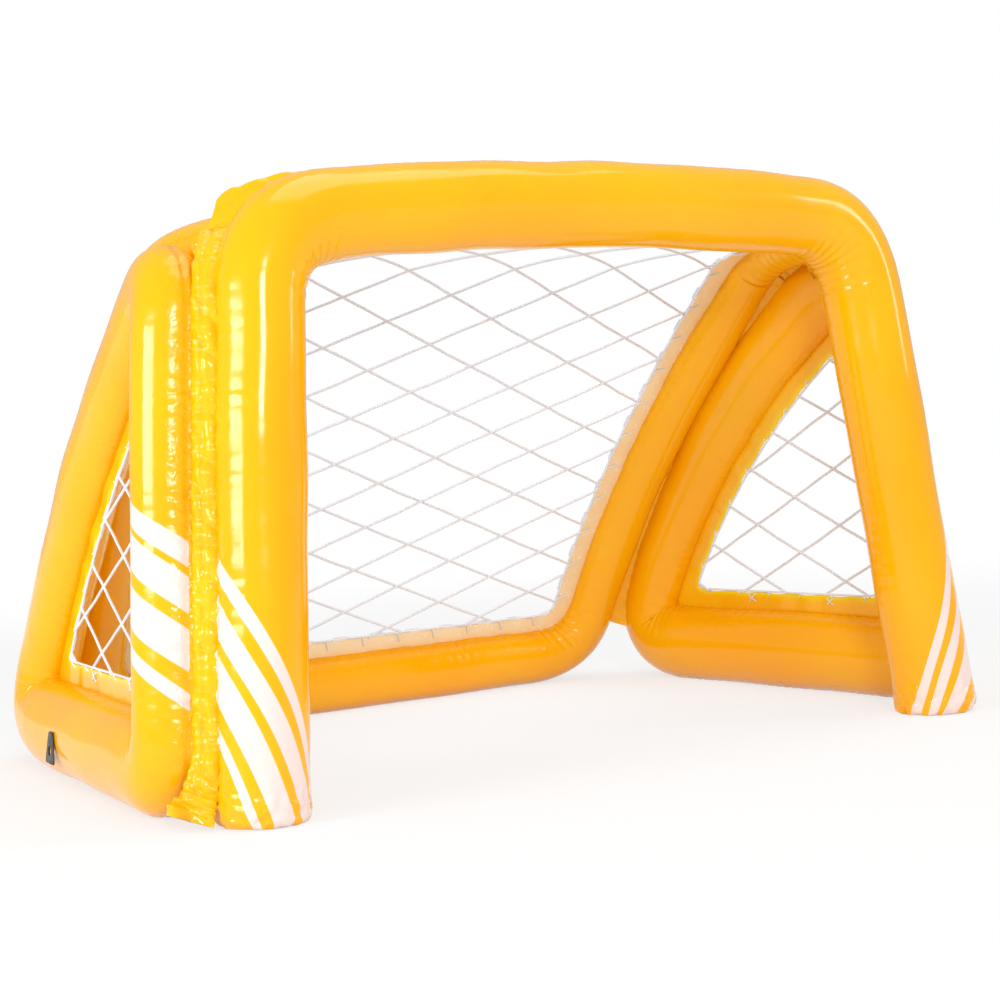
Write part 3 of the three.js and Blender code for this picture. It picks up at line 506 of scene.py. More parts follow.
# The welds, flanges and valve seats wear a yellower copy of the vinyl: painted light, for the glow of light
# shining through the thin welded vinyl
weldLook = {**vinylLook, "base": (1.0, 0.54, 0.002, 1), "warm": (1.0, 0.46, 0.002, 1), "crinkleScale": 48}
stripedVinyl = (vinylMaterial("stripedVinyl", vinylLook, True), "vinyl")
plainVinyl = (vinylMaterial("plainVinyl", vinylLook, False), "vinyl")
weldedVinyl = (vinylMaterial("weldedVinyl", weldLook, False), "welded_vinyl")
netCord = (cordMaterial("netCord", cordLook), "net_cord")
clearVinyl = (clearMaterial("clearVinyl", clearLook), "clear_vinyl")
blackPlastic = (blackMaterial("blackPlastic", blackLook), "black_plastic")
print("stage: materials")

# The chambers' paths, as in the part's source

front = {
    "foot": 0.5565, "top": 0.485, "lean": 0.0615, "corner": 0.7302, "rise": 0.0226,
    "radius": 0.058, "reach": 0.102, "sole": 0.010, "soleRound": 0.026, "soleStart": 0.004,
    "soleDip": 1e-4,
    "rows": {"sole": 8, "round": 20, "post": 80, "bar": 60},
}
ring = {
    "post": (0.056, 0.048), "slope": (0.042, 0.060), "bottom": (0.056, 0.064), "sunk": 0.002,
    "top": 0.690, "back": (0.560, 0.738, 0.062), "bow": 0.052, "topReach": 0.100,
    "backReach": 0.125, "frontReach": 0.056,
    "rows": {"slope": 200, "leg": 100, "front": 60},
}
# The tube sags and narrows where it bends over to the crossbar, so its top there is a little under the
# solid's: tipShown and reachShown take the place of tip and tipReach from row drop of the slope on
rear = {
    "radius": 0.0445, "barRadius": 0.0506, "corner": (0.456, 0.7915, 0.0486), "reach": 0.104,
    "bow": 0.037, "top": (-0.062, 0.1403, 0.0253), "tip": (0.455, 0.085, 0.735),
    "tipReach": 0.090, "tipShown": (0.455, 0.085, 0.712), "reachShown": 0.055, "drop": 12,
    "narrow": 0.76,
    "rows": {"tip": 60, "narrow": 90, "slope": 200, "turn": 80, "bar": 60},
}

foot = vec(front["foot"], 0, 0)
corner = vec(front["top"], front["lean"], front["corner"])
bendStart = toward(corner, foot, front["reach"])
barStart = front["top"] - front["reach"]


# A path that ends in the middle plane, and its radii, carried on to the other side by x -> -x
def bothSides(right, radius):
    path = np.vstack([right, right[-2::-1] * otherSide])
    return path, np.stack([np.concatenate([radius, radius[-2::-1]])] * 2, 1)


# The crossbar's axis: an arch of height corner + rise (1 - (x / top)^2)
def crossbarAt(x):
    x = np.asarray(x, float)
    z = front["corner"] + front["rise"] * (1 - (x / front["top"]) ** 2)
    return np.stack([x, np.full_like(x, front["lean"]), z], -1)


# The post's axis: foot + (corner - foot) height / corner height
def postPoint(height):
    return foot + (corner - foot) * height / front["corner"]


# The front chamber's path: a flat sole with a quarter circle for its edge, the post, a bend and half the bar
def frontPath():
    radius, turn, rows = front["radius"], front["soleRound"], front["rows"]
    upward, sole = unit(corner - foot), toward(foot, corner, -front["sole"])
    quarter = np.linspace(0, np.pi / 2, rows["round"])
    narrow = radius - turn * (1 - np.sin(quarter))
    flatEnd = np.linspace(front["soleStart"], narrow[0], rows["sole"], endpoint=False)
    toe = sole + upward * np.linspace(-front["soleDip"], 0, rows["sole"], endpoint=False)[:, None]
    rounding = sole + upward * (turn * (1 - np.cos(quarter)))[:, None]
    post = straight(rounding[-1], bendStart, rows["post"])[1:-1]
    bend = bent(bendStart, corner, crossbarAt(barStart))
    bar = crossbarAt(np.linspace(barStart, 0, rows["bar"])[1:])
    radii = np.concatenate([flatEnd, narrow, np.full(len(post) + len(bend) + len(bar), radius)])
    return bothSides(np.vstack([toe, rounding, post, bend, bar]), radii)


beside = front["radius"] + math.sqrt(2) / math.hypot(1 / ring["post"][0], 1 / ring["post"][1])
ringOffset = vec(1, 1, 0) * (beside * math.sqrt(0.5))
ringFront = postPoint(ring["bottom"][1] - ring["sunk"]) + ringOffset
ringTop = postPoint(ring["top"]) + ringOffset
ringBack = vec(*ring["back"])
ringNormal = unit(np.cross(unit(ringTop - ringFront), unit(ringBack - ringFront)))
ringSquare = np.cross(ringNormal, unit(ringBack - ringTop))
ringSquare = ringSquare * np.sign(dot(ringSquare, (ringTop + ringBack) / 2 - ringFront))
ringBow = (ringTop + ringBack) / 2 + unit(ringSquare) * 2 * ring["bow"]
slopeStart = toward(ringTop, ringBow, ring["topReach"])
slopeEnd = toward(ringBack, ringBow, ring["backReach"])
ringSlope = bent(slopeStart, ringBow, slopeEnd, ring["rows"]["slope"])


# A side chamber's path: three legs and the three bends between them, whose half sizes pass over evenly
def ringPath():
    rows, frontRows = ring["rows"]["leg"], ring["rows"]["front"]
    postTop = toward(ringTop, ringFront, ring["topReach"])
    postFoot = toward(ringFront, ringTop, ring["frontReach"])
    bottomBack = toward(ringBack, ringFront, ring["backReach"])
    bottomFront = toward(ringFront, ringBack, ring["frontReach"])
    legs = [
        (straight(postFoot, postTop, rows), "post", "post"),
        (bent(postTop, ringTop, slopeStart, rows), "post", "slope"),
        (ringSlope, "slope", "slope"),
        (bent(slopeEnd, ringBack, bottomBack, rows), "slope", "bottom"),
        (straight(bottomBack, bottomFront, rows), "bottom", "bottom"),
        (bent(bottomFront, ringFront, postFoot, frontRows), "bottom", "post"),
    ]
    path = np.vstack([points[:-1] for points, _, _ in legs])
    ease = [np.linspace(0, 1, len(points))[:-1, None] for points, _, _ in legs]
    ends = [(vec(*ring[a]), vec(*ring[b])) for _, a, b in legs]
    half = np.vstack([a + (b - a) * t for (a, b), t in zip(ends, ease)])
    return path, half


rearCorner = vec(*rear["corner"])
rearTop = ringTop + vec(*rear["top"])
rearRun = unit(rearCorner - rearTop)
rearOutward = unit(vec(0, -rearRun[2], rearRun[1]))
rearBow = (rearTop + rearCorner) / 2 + rearOutward * 2 * rear["bow"]
rearSlopeEnd = toward(rearCorner, rearBow, rear["reach"])
rearBarStart = rearCorner - vec(rear["reach"], 0, 0)
rearSlope = bent(rearTop, rearBow, rearSlopeEnd, rear["rows"]["slope"])
rearStart, rearShown = rearSlope[rear["drop"]], rearSlope[rear["drop"] :]
rearTipAim = toward(rearStart, rearShown[3], -rear["reachShown"])
rearTipBend = bent(vec(*rear["tipShown"]), rearTipAim, rearStart, rear["rows"]["tip"])


# The rear chamber's path: from the tip over to the slope, down it, round the corner and along half the bar.
# The tip's radius grows as share^0.8, and the corner's evenly from the slope's to the bar's.
def rearPath():
    slim, stout, rows = rear["radius"], rear["barRadius"], rear["rows"]
    turn = bent(rearSlopeEnd, rearCorner, rearBarStart, rows["turn"])[1:]
    bar = straight(rearBarStart, rearCorner * toMiddle, rows["bar"])[1:]
    right = np.vstack([rearTipBend[:-1], rearShown, turn, bar])
    tip = slim * (rear["narrow"] + (1 - rear["narrow"]) * np.linspace(0, 1, rows["narrow"]) ** 0.8)
    even = np.full(len(right) - len(tip) - len(turn) - len(bar), slim)
    widening = np.linspace(slim, stout, len(turn))
    return bothSides(right, np.concatenate([tip, even, widening, np.full(len(bar), stout)]))


# Relief of the inflated skins

relief = {
    "fine": {"length": 0.0095, "depth": 0.0018, "fade": 0.011},
    "broad": {"length": 0.024, "depth": 0.0021, "fade": 0.026},
    "groove": {"depth": 0.0022, "width": 0.0045},
    "swell": {"length": 0.16, "depth": 0.0012},
    "buckle": {"length": 0.021, "depth": 0.0054, "drift": 0.14, "focus": 1.6, "crinkled": 0.8},
    "weldFade": 0.022,
}


# Puckers across a weld: folds |sin(pi u / length)| that run away from it and fade as exp(-away / fade), and
# a groove exp(-(away / width)^2) at the weld itself
def puckers(along, away, seed):
    total = np.zeros(np.broadcast(along, away).shape)
    for k, key in enumerate(("fine", "broad")):
        form = relief[key]
        drift = waves(along[:, 0], form["length"] * 6, seed + k)[:, None] * 0.55
        lively = 0.65 + 0.35 * waves(along[:, 0], form["length"] * 9, seed + 7 + k)[:, None]
        shape = fold(along / form["length"] + drift) - 0.62
        total += form["depth"] * lively * shape * np.exp(-away / form["fade"])
    groove = relief["groove"]
    return total - groove["depth"] * np.exp(-((away / groove["width"]) ** 2))


# The relief of one tube: puckers at each weld, a slow swell, and folds on the inside of each bend, where the
# bend is tight. Gives it with the share of crinkles, from 0 to 1.
def skinRelief(path, half, angle, points, welds, guide, closed, seed):
    along = travelled(path, True)[:-1, None]
    radius = half.mean(1, keepdims=True)
    lift = relief["swell"]["depth"] * waves(points, relief["swell"]["length"], seed)
    near = np.zeros(points.shape[:2])
    for k, (weldAngle, strength) in enumerate(welds):
        away = np.abs(turnBetween(angle[None], weldAngle[:, None])) * radius
        lift = lift + puckers(along, away, seed + 20 * k + 3) * strength[:, None]
        near = np.maximum(near, np.exp(-away / relief["weldFade"]) * strength[:, None])
    direction, first, second = axesOf(path, guide, closed)
    bending = bendingOf(path, direction, closed)
    form = relief["buckle"]
    toInside = np.arctan2(dot(bending, second), dot(bending, first))
    facing = np.clip(np.cos(turnBetween(angle[None], toInside)), 0, 1) ** form["focus"]
    tight = np.clip(np.linalg.norm(bending, axis=-1, keepdims=True) * radius, 0, 1)
    drift = waves(points, form["drift"], seed + 51) * 0.5
    lift = lift + form["depth"] * tight * facing * (fold(along / form["length"] + drift) - 0.6)
    return lift, np.clip(np.maximum(near, tight * facing * form["crinkled"]), 0, 1)


# Where the valves sit: on the crossbar and the rear bar, tilted down or up from +Y, and on the side
# chambers' slopes, at a distance along them and tilted outwards. The solids' tubes have flat facets.
seats = {
    "tilt": 53, "onCrossbar": 0.2, "onRearBar": 0.15, "alongSlope": 0.380, "slopeTilt": 22,
    "facets": 16, "reach": 0.024, "drop": 0.0006, "near": 0.03,
}
facet = math.cos(math.pi / seats["facets"])
rearOut = vec(0, math.cos(math.radians(seats["tilt"])), math.sin(math.radians(seats["tilt"])))
crossbarOut = rearOut * vec(1, 1, -1)
slopePick = int(np.argmin(np.abs(travelled(ringSlope) - seats["alongSlope"])))
slopeRun = unit(ringSlope[slopePick + 1] - ringSlope[slopePick - 1])
slopeSquare = np.cross(slopeRun, ringNormal)
slopeSquare = slopeSquare * np.sign(dot(slopeSquare, ringSquare))
ringOuter = ringNormal * np.sign(ringNormal[0])
tiltOut, tiltUp = math.sin(math.radians(seats["slopeTilt"])), math.cos(math.radians(seats["slopeTilt"]))
ringValveOut = unit(ringOuter * tiltOut / ring["slope"][0] + slopeSquare * tiltUp / ring["slope"][1])
ringSeat = ringSlope[slopePick] + ringOuter * ring["slope"][0] * facet * tiltOut
ringSeat = ringSeat + slopeSquare * ring["slope"][1] * facet * tiltUp
rearSeat = rearCorner * toMiddle + vec(seats["onRearBar"], 0, 0) + rearOut * rear["barRadius"] * facet
valveSeats = {
    "front": (crossbarAt(seats["onCrossbar"]) + crossbarOut * front["radius"] * facet, crossbarOut),
    "rear": (rearSeat, rearOut),
    "right": (ringSeat, ringValveOut),
    "left": (ringSeat * otherSide, ringValveOut * otherSide),
}


# The inflated skin: points + outward lift, never under the floor. Round a valve it lies flat under the base,
# where a point's height over the seat is capped.
def inflated(points, outward, lift, valve):
    points = points + outward * lift[..., None]
    points[..., 2] = np.maximum(points[..., 2], 0)
    seat, seatOut = valveSeats[valve]
    away = points - seat
    height = dot(away, seatOut)
    radial = np.linalg.norm(away - height * seatOut, axis=-1, keepdims=True)
    share = np.clip((seats["reach"] * 1.5 - radial) / (seats["reach"] * 0.5), 0, 1)
    share = share * (np.abs(height) < seats["near"])
    return points - seatOut * np.maximum(height + seats["drop"], 0) * share


# Printed bands at the feet. Each is the space between an upper and a lower curve, written as a polynomial of
# height over the turn round the post, and is printed between the two turns of its span.
stripes = {
    "frontLeft": {
        "span": (-1.25, 1.80),
        "bands": [
            ((-0.0215, 0.1151, 0.1953), (-0.0210, 0.1164, 0.1648)),
            ((-0.0175, 0.1144, 0.1367), (-0.0265, 0.1315, 0.0856)),
            ((-0.0331, 0.1501, 0.0534), (-0.0412, 0.1754, -0.0277)),
            ((-0.0590, 0.2250, -0.0892), (-0.0695, 0.2607, -0.1407)),
        ],
    },
    "frontRight": {
        "span": (-1.6, 1.80),
        "bands": [
            ((0.0065, 0.1284, 0.1771), (-0.0024, 0.1177, 0.1444)),
            ((-0.0192, 0.0963, 0.1163), (-0.0048, 0.1024, 0.0848)),
            ((-0.0056, 0.0852, 0.0585), (-0.0231, 0.0691, 0.0196)),
            ((-0.0300, 0.0900, -0.0120), (-0.0350, 0.0900, -0.0330)),
        ],
    },
    "ring": {
        "span": (0.07, 2.4),
        "bands": [
            ((0.0324, 0.3387), (0.0335, 0.3073)),
            ((0.0355, 0.2963), (0.0348, 0.2518)),
            ((0.0349, 0.2332), (0.0342, 0.1826)),
            ((0.0374, 0.1569), (0.0372, 0.1360)),
        ],
    },
    "slant": 0.6, "turnScale": 0.05, "ringDepth": 0.06,
}


# How far a point is inside the bands, in metres or so, and below zero outside. The turn is the angle round
# the axis from low to high, and the least distance to a band's curves and ends counts.
def bandDistance(points, low, high, side, printed):
    share = (points[..., 2:] - low[2]) / (high[2] - low[2])
    away = points - (low + (high - low) * share) * vec(side, 1, 1)
    turn, height = np.arctan2(away[..., 0] * side, -away[..., 1]), points[..., 2]
    best = np.full(height.shape, -1.0)
    start, end = printed["span"]
    ends = np.minimum((turn - start) * stripes["turnScale"], (end - turn) * stripes["turnScale"])
    for upper, lower in printed["bands"]:
        between = np.minimum(np.polyval(upper, turn) - height, height - np.polyval(lower, turn))
        best = np.maximum(best, np.minimum(between * stripes["slant"], ends))
    return best


# Front chamber

frontSkin = {
    "rows": 900, "sides": 104, "weldTurn": (274, 24), "innerWeld": 0.25, "barFade": 0.09,
    "footFade": 0.05, "footHeight": 0.075,
    "crumple": {"length": 0.024, "depth": 0.0040},
}


# The front chamber: its weld winds from one turn on the posts to another on the bar, and its feet crumple as
# 1 - |waves| near the floor
def frontChamber(look):
    raw, rawHalf = frontPath()
    path, half = evenly(raw, look["rows"], extra=rawHalf)
    guide = vec(0, 1, 0)
    points, outward, angle = tubeGrid(path, half, guide, look["sides"])
    onBar = np.clip((front["top"] - np.abs(path[:, 0])) / look["barFade"], 0, 1)
    above = np.clip((path[:, 2] - front["sole"]) / look["footFade"], 0, 1)
    weld = np.radians(look["weldTurn"][0] + look["weldTurn"][1] * onBar)
    inner = (np.full(len(path), np.pi / 2), look["innerWeld"] * (1 - onBar) * above)
    lift, near = skinRelief(path, half, angle, points, [(weld, above), inner], guide, False, 11)
    low = np.clip(1 - points[..., 2] / look["footHeight"], 0, 1)
    low = low * np.clip(half[:, :1] / front["radius"], 0, 1)
    crumple = look["crumple"]
    folds = (1 - np.abs(waves(points, crumple["length"], 5))) * crumple["depth"] * low ** 1.5
    points = inflated(points, outward, lift + folds, "front")
    left = bandDistance(points, foot, corner, -1, stripes["frontLeft"])
    right = bandDistance(points, foot, corner, 1, stripes["frontRight"])
    layers = {"weld": np.maximum(near, low * 0.8), "stripe": np.where(points[..., 0] < 0, left, right)}
    everything, faces = cappedTube(points)
    addPiece("front_chamber", everything, faces, stripedVinyl, "front_frame", layers=layers)


frontChamber(frontSkin)
print("stage: front chamber")

# Side chambers

ringSkin = {"rows": 800, "sides": 100, "backWeld": 0.8}


# A side chamber: a closed ring with a weld on each of its flat sides, made on the right and mirrored for the
# left, and printed on its post only
def sideChamber(name, mirrored, seed, look):
    raw, rawHalf = ringPath()
    path, half = evenly(raw, look["rows"], True, rawHalf)
    points, outward, angle = tubeGrid(path, half, ringNormal, look["sides"], True)
    full = np.ones(len(path))
    welds = [(full * (np.pi / 2), full), (full * (1.5 * np.pi), full * look["backWeld"])]
    lift, near = skinRelief(path, half, angle, points, welds, ringNormal, True, seed)
    points = inflated(points, outward, lift, "right")
    found = bandDistance(points, ringFront, ringTop, 1, stripes["ring"])
    inPost = points[..., 1] < ringFront[1] + stripes["ringDepth"]
    layers = {"weld": near, "stripe": np.where(inPost, found, -1.0)}
    faces = [gridFaces(look["rows"], look["sides"], True, True)]
    label, node = f"{name}_side_chamber", f"{name}_side_ring"
    addPiece(label, points, faces, stripedVinyl, node, layers=layers, mirrored=mirrored)


sideChamber("left", True, 101, ringSkin)
sideChamber("right", False, 202, ringSkin)
print("stage: side chambers")

# Rear chamber

rearSkin = {"rows": 950, "sides": 96, "innerWeld": 0.8}


# The rear chamber: welds run along its inside and its outside
def rearChamber(look):
    raw, rawHalf = rearPath()
    path, half = evenly(raw, look["rows"], extra=rawHalf)
    points, outward, angle = tubeGrid(path, half, rearOutward, look["sides"])
    full = np.ones(len(path))
    toOpening = full * (-np.pi / 2)
    welds = [(toOpening, full * look["innerWeld"]), (toOpening + np.pi, full)]
    lift, near = skinRelief(path, half, angle, points, welds, rearOutward, False, 303)
    everything, faces = cappedTube(inflated(points, outward, lift, "rear"))
    addPiece("rear_chamber", everything, faces, plainVinyl, "rear_frame", layers={"weld": near})


rearChamber(rearSkin)
print("stage: rear chamber")

# Welds between the chambers

# What the strips share, and what only some have
stripLook = {
    "drift": 0.08, "grain": 0.012, "dish": 0, "flare": 0, "ridge": 0, "ridgeAt": 0.1,
    "ridgeWidth": 0.16,
}


# A strip: a flat tube whose both faces are crumpled alike, by folds across it, a crease 1 - |waves|, a ridge
# and a dish along it, each larger where the strip flares
def stripShell(path, guide, half, look):
    half = np.broadcast_to(np.asarray(half, float), (len(path), 2))
    path, more = evenly(path, look["rows"], extra=np.hstack([guide, half]))
    guide, half = more[:, :3], more[:, 3:]
    points, _, angle = tubeGrid(path, half, guide, look["sides"], crease=0)
    second, along = axesOf(path, guide)[2], travelled(path)[:, None]
    rim = np.abs(np.cos(angle))[None] ** 3
    drift = waves(along[:, 0], look["drift"], look["seed"])[:, None] * 0.5
    flare = (half[:, :1] / half[:, :1].min()) ** look["flare"]
    wave = look["fold"] * (fold(along / look["length"] + drift) - 0.5) * (0.35 + 0.65 * rim) * flare
    crumple = 1 - np.abs(waves(points, look["crumpleSize"], look["seed"] + 1))
    wave = wave + look["crinkle"] * (crumple + 0.1 * waves(points, look["grain"], look["seed"] + 2)) * flare
    wave = wave + look["ridge"] * np.exp(-(((np.cos(angle) - look["ridgeAt"]) / look["ridgeWidth"]) ** 2))
    points = points + second[:, None] * (wave - look["dish"] * (1 - rim))[..., None]
    everything, faces = cappedTube(points)
    everything[:, 2] = np.maximum(everything[:, 2], 0)
    return everything, faces


# A web of vinyl that spans from one tube's axis to another's, so that it closes the gap between their skins
def webShell(pathA, pathB, look):
    pathA, pathB = evenly(pathA, look["rows"]), evenly(pathB, look["rows"])
    across = pathB - pathA
    half = np.linalg.norm(across, axis=1, keepdims=True) / 2
    half = np.hstack([half, np.full_like(half, look["thick"])])
    return stripShell((pathA + pathB) / 2, across, half, look)


# One weld of a few shells
def addShells(name, shells, node, mirrored):
    points, faces = joined(shells)
    layers = {"weld": np.full(len(points), 0.9)}
    addPiece(name, points, faces, weldedVinyl, node, layers=layers, mirrored=mirrored)


postAcross = unit(ringOffset)
postGroove = vec(postAcross[1], -postAcross[0], 0)
frontWeld = {
    **stripLook,
    "rows": 560, "sides": 52, "fold": 0.0034, "crinkle": 0.0036, "length": 0.021, "dish": 0.004,
    "crumpleSize": 0.046, "ridge": 0.0024, "flare": 1.6, "wide": 0.0175, "thick": 0.0016,
    "heights": (0.012, 0.722), "groove": 0.036, "curl": (0.655, 0.067),
    "foot": {"fade": 0.045, "wide": 0.016, "across": 0.017, "groove": 0.016},
}
cornerWeb = {
    **stripLook,
    "rows": 260, "sides": 64, "fold": 0.0022, "crinkle": 0.0034, "length": 0.022,
    "crumpleSize": 0.034, "thick": 0.0016, "slopeRows": 14, "bendRows": 52,
}


# The line of the weld between the posts: up the groove behind the front post, which it leaves by share^2 at
# the top, and spread out by exp(-(height / fade)^2) at the foot. Gives it with its half sizes.
def frontWeldLine(look):
    heights, wider = np.linspace(*look["heights"], 50), look["foot"]
    curl = np.clip((heights - look["curl"][0]) / look["curl"][1], 0, 1)[:, None] ** 2
    line = postPoint(heights[:, None]) + postAcross * front["radius"]
    line = line + postGroove * look["groove"] * (1 - curl)
    low = np.exp(-((heights / wider["fade"]) ** 2))[:, None]
    line = line + (postAcross * wider["across"] + postGroove * wider["groove"]) * low
    return line, np.hstack([look["wide"] + wider["wide"] * low, np.full_like(low, look["thick"])])


weldPath, weldHalf = frontWeldLine(frontWeld)
weldGuide = np.tile(postAcross, (len(weldPath), 1))
ringTopBend = bent(toward(ringTop, ringFront, ring["topReach"]), ringTop, slopeStart, 60)
frontBend = bent(bendStart, corner, crossbarAt(barStart), 60)
topEdge = np.vstack([ringTopBend, ringSlope[1 : cornerWeb["slopeRows"]]])
for name, mirrored, seed in (("left", True, 31), ("right", False, 37)):
    strip = stripShell(weldPath, weldGuide, weldHalf, {**frontWeld, "seed": seed})
    web = webShell(topEdge, frontBend[: cornerWeb["bendRows"]], {**cornerWeb, "seed": seed + 3})
    addShells(f"{name}_front_weld", [strip, web], f"{name}_front_seam", mirrored)

rearWeld = {
    **stripLook,
    "rows": 420, "sides": 40, "fold": 0.0022, "crinkle": 0.0020, "length": 0.014, "dish": 0.002,
    "crumpleSize": 0.03, "half": (0.017, 0.0016), "groove": 0.032, "skipped": 12,
}
rearWeb = {
    **stripLook,
    "rows": 420, "sides": 60, "fold": 0.0012, "crinkle": 0.0016, "length": 0.018,
    "crumpleSize": 0.03, "thick": 0.0015, "lowRows": (22, 24),
}


# Runs in the groove between a side chamber's slope and the rear chamber: from each point of the slope
# towards the rear path's nearest point as far as the skin, then out along the groove
def rearWeldLine(look):
    rows = slice(look["skipped"], -look["skipped"], 2)
    axis = ringSlope[rows]
    run = unit(np.gradient(ringSlope, axis=0))[rows]
    apart = np.linalg.norm(axis[:, None] - rearSlope[None], axis=-1)
    across = unit(rearSlope[apart.argmin(1)] - axis)
    groove = unit(np.cross(run, across))
    groove = groove * np.sign(dot(groove, unit(ringSquare)))
    a, b = dot(across, ringNormal), dot(across, unit(ringSquare))
    touch = np.hypot(a, b) / np.hypot(a / ring["slope"][0], b / ring["slope"][1])
    return axis + across * touch + groove * look["groove"], across


weldPath, weldGuide = rearWeldLine(rearWeld)
ringLow = bent(slopeEnd, ringBack, toward(ringBack, ringFront, ring["backReach"]), 60)
rearLow = bent(rearSlopeEnd, rearCorner, rearBarStart, 60)
ringEdge = np.vstack([ringSlope, ringLow[1 : rearWeb["lowRows"][0]]])
rearEdge = np.vstack([rearShown, rearLow[1 : rearWeb["lowRows"][1]]])
for name, mirrored, seed in (("left", True, 41), ("right", False, 47)):
    strip = stripShell(weldPath, weldGuide, rearWeld["half"], {**rearWeld, "seed": seed})
    web = webShell(ringEdge, rearEdge, {**rearWeb, "seed": seed + 3})
    top = webShell(ringTopBend, rearTipBend, {**cornerWeb, "seed": seed + 5})
    addShells(f"{name}_rear_weld", [strip, web, top], f"{name}_rear_seam", mirrored)

topBand = {
    "rows": 520, "sides": 28, "thick": 0.0009, "tilt": (28, 20), "sunk": 0.004,
    "height": 0.0035,
    "corner": {"height": 0.034, "at": 0.478, "fade": 0.055, "share": 0.07},
    "ends": 0.05,
    "edge": {"length": 0.05, "share": 0.1},
    "fold": {"length": 0.019, "depth": 0.0030, "drift": 0.09},
    "crumple": {"length": 0.036, "grain": 0.016, "depth": 0.0042},
}


# The weld band that stands along the crossbar's top, a flat tube from the bar's skin up to its height. That
# grows as exp(-(distance to the corner / fade)^2), and folds and crumples grow towards the edge.
def topWeld(look):
    end, edge, folds, crumpled = look["corner"], look["edge"], look["fold"], look["crumple"]
    bend = bent(crossbarAt(barStart), corner, bendStart, 60)
    half = np.vstack([crossbarAt(np.linspace(0, barStart, 60)), bend[1:]])
    line = evenly(np.vstack([half[:0:-1] * otherSide, half]), look["rows"])
    along, _, second = axesOf(line, vec(0, 1, 0))
    x, distance = np.abs(line[:, :1]), travelled(line)[:, None]
    onBar = np.clip((front["top"] - x) / end["share"], 0, 1)
    tilt = np.radians(look["tilt"][0] + look["tilt"][1] * (1 - onBar))
    outward = unit(vec(0, 1, 0) * np.tan(tilt) + second)
    base = line + outward * (front["radius"] - look["sunk"])
    growth = np.exp(-((np.maximum(end["at"] - x, 0) / end["fade"]) ** 2))
    tall = look["sunk"] + look["height"] + end["height"] * growth
    tall = tall * (1 + edge["share"] * waves(distance[:, 0], edge["length"], 61)[:, None])
    tall = tall * np.clip(np.minimum(distance, distance[-1] - distance) / look["ends"], 0.02, 1) ** 0.6
    angle = np.linspace(0, 2 * np.pi, look["sides"], endpoint=False)[None]
    up = (1 - np.cos(angle)) / 2
    drift = 0.5 * waves(distance[:, 0], folds["drift"], 62)[:, None]
    wave = folds["depth"] * (fold(distance / folds["length"] + drift) - 0.5) * up
    spot = base[:, None] + outward[:, None] * (tall * up)[..., None]
    crumple = 1 - np.abs(waves(spot, crumpled["length"], 63)) + 0.4 * waves(spot, crumpled["grain"], 64)
    wave = wave + crumpled["depth"] * crumple * up * (1 - onBar)
    sideways = np.cross(along, outward)[:, None]
    points, faces = cappedTube(spot + sideways * (wave + look["thick"] * np.sin(angle))[..., None])
    faces = [f[:, ::-1] for f in faces]
    layers = {"weld": np.full(look["rows"] * look["sides"], 0.8)}
    addPiece("top_weld", points, faces, weldedVinyl, "top_seam", layers=layers)


topWeld(topBand)
print("stage: welds")

# Openings: flanges, nets and lacing. A flat outline is carried to its place by a function of (u, v, height).

opening = {
    "flange": 0.028,
    "tuck": {"rear": 0.020, "side": 0.036},
    "thick": 0.0008, "round": 0.017,
    "rows": {"rear": 1400, "side": 1100},
    "lacePitch": 0.068, "clear": 0.0045, "bow": 0.012, "split": 0.042,
    "sideCentre": (0.25, 0.22), "rays": 2000,
}
tipEnd = len(rearTipBend) - 1
solidTip = bent(vec(*rear["tip"]), toward(rearTop, rearBow, -rear["tipReach"]), rearTop, rear["rows"]["tip"])
solidStart = travelled(np.vstack([solidTip[:-1], rearSlope])[:, 1:])[tipEnd + rear["drop"]]
profile = np.vstack([rearTipBend[:-1], rearShown, straight(rearSlope[-1], rearCorner, 30)[1:]])[:, 1:]
profileAlong = travelled(profile)
profileAlong += solidStart - profileAlong[tipEnd]
profileRun = unit(np.gradient(profile, axis=0))


# The rear opening's surface: the rear tubes' profile at the distance s along it, moved out by the height
def rearPlace(x, s, height):
    y, z, runY, runZ = (np.interp(s, profileAlong, column) for column in np.hstack([profile, profileRun]).T)
    return np.stack([x, y - runZ * height, z + runY * height], -1)


ringAlong = unit(ringBack - ringFront)
ringUp = np.cross(ringAlong, ringNormal)
ringUp = ringUp * np.sign(ringUp[2])


# The side opening's plane: ringFront + ringAlong u + ringUp v + ringNormal height
def sidePlace(u, v, height):
    u, v, height = (np.asarray(value, float)[..., None] for value in (u, v, height))
    return ringFront + ringAlong * u + ringUp * v + ringNormal * height


# Points in a side chamber's plane as (u, v)
def inRing(points):
    return np.stack([(points - ringFront) @ ringAlong, (points - ringFront) @ ringUp], -1)


# The rear opening: each half widens as share^1.5 from the top down, and bows out as share (1 - share)
def rearOutline():
    share = np.linspace(0, 1, 60) ** 1.5
    inset = rear["radius"]
    top = profileAlong[0] + front["radius"] + opening["clear"]
    low = profileAlong[-1] - rear["barRadius"] - opening["flange"]
    narrow, wide = rearTop[0] - inset - opening["flange"], rearCorner[0] - inset - opening["flange"]
    across = narrow + (wide - narrow) * share + opening["bow"] * share * (1 - share)
    side = np.stack([across, top + (low - top) * share], 1)
    return np.vstack([side, side[::-1] * vec(-1, 1)])


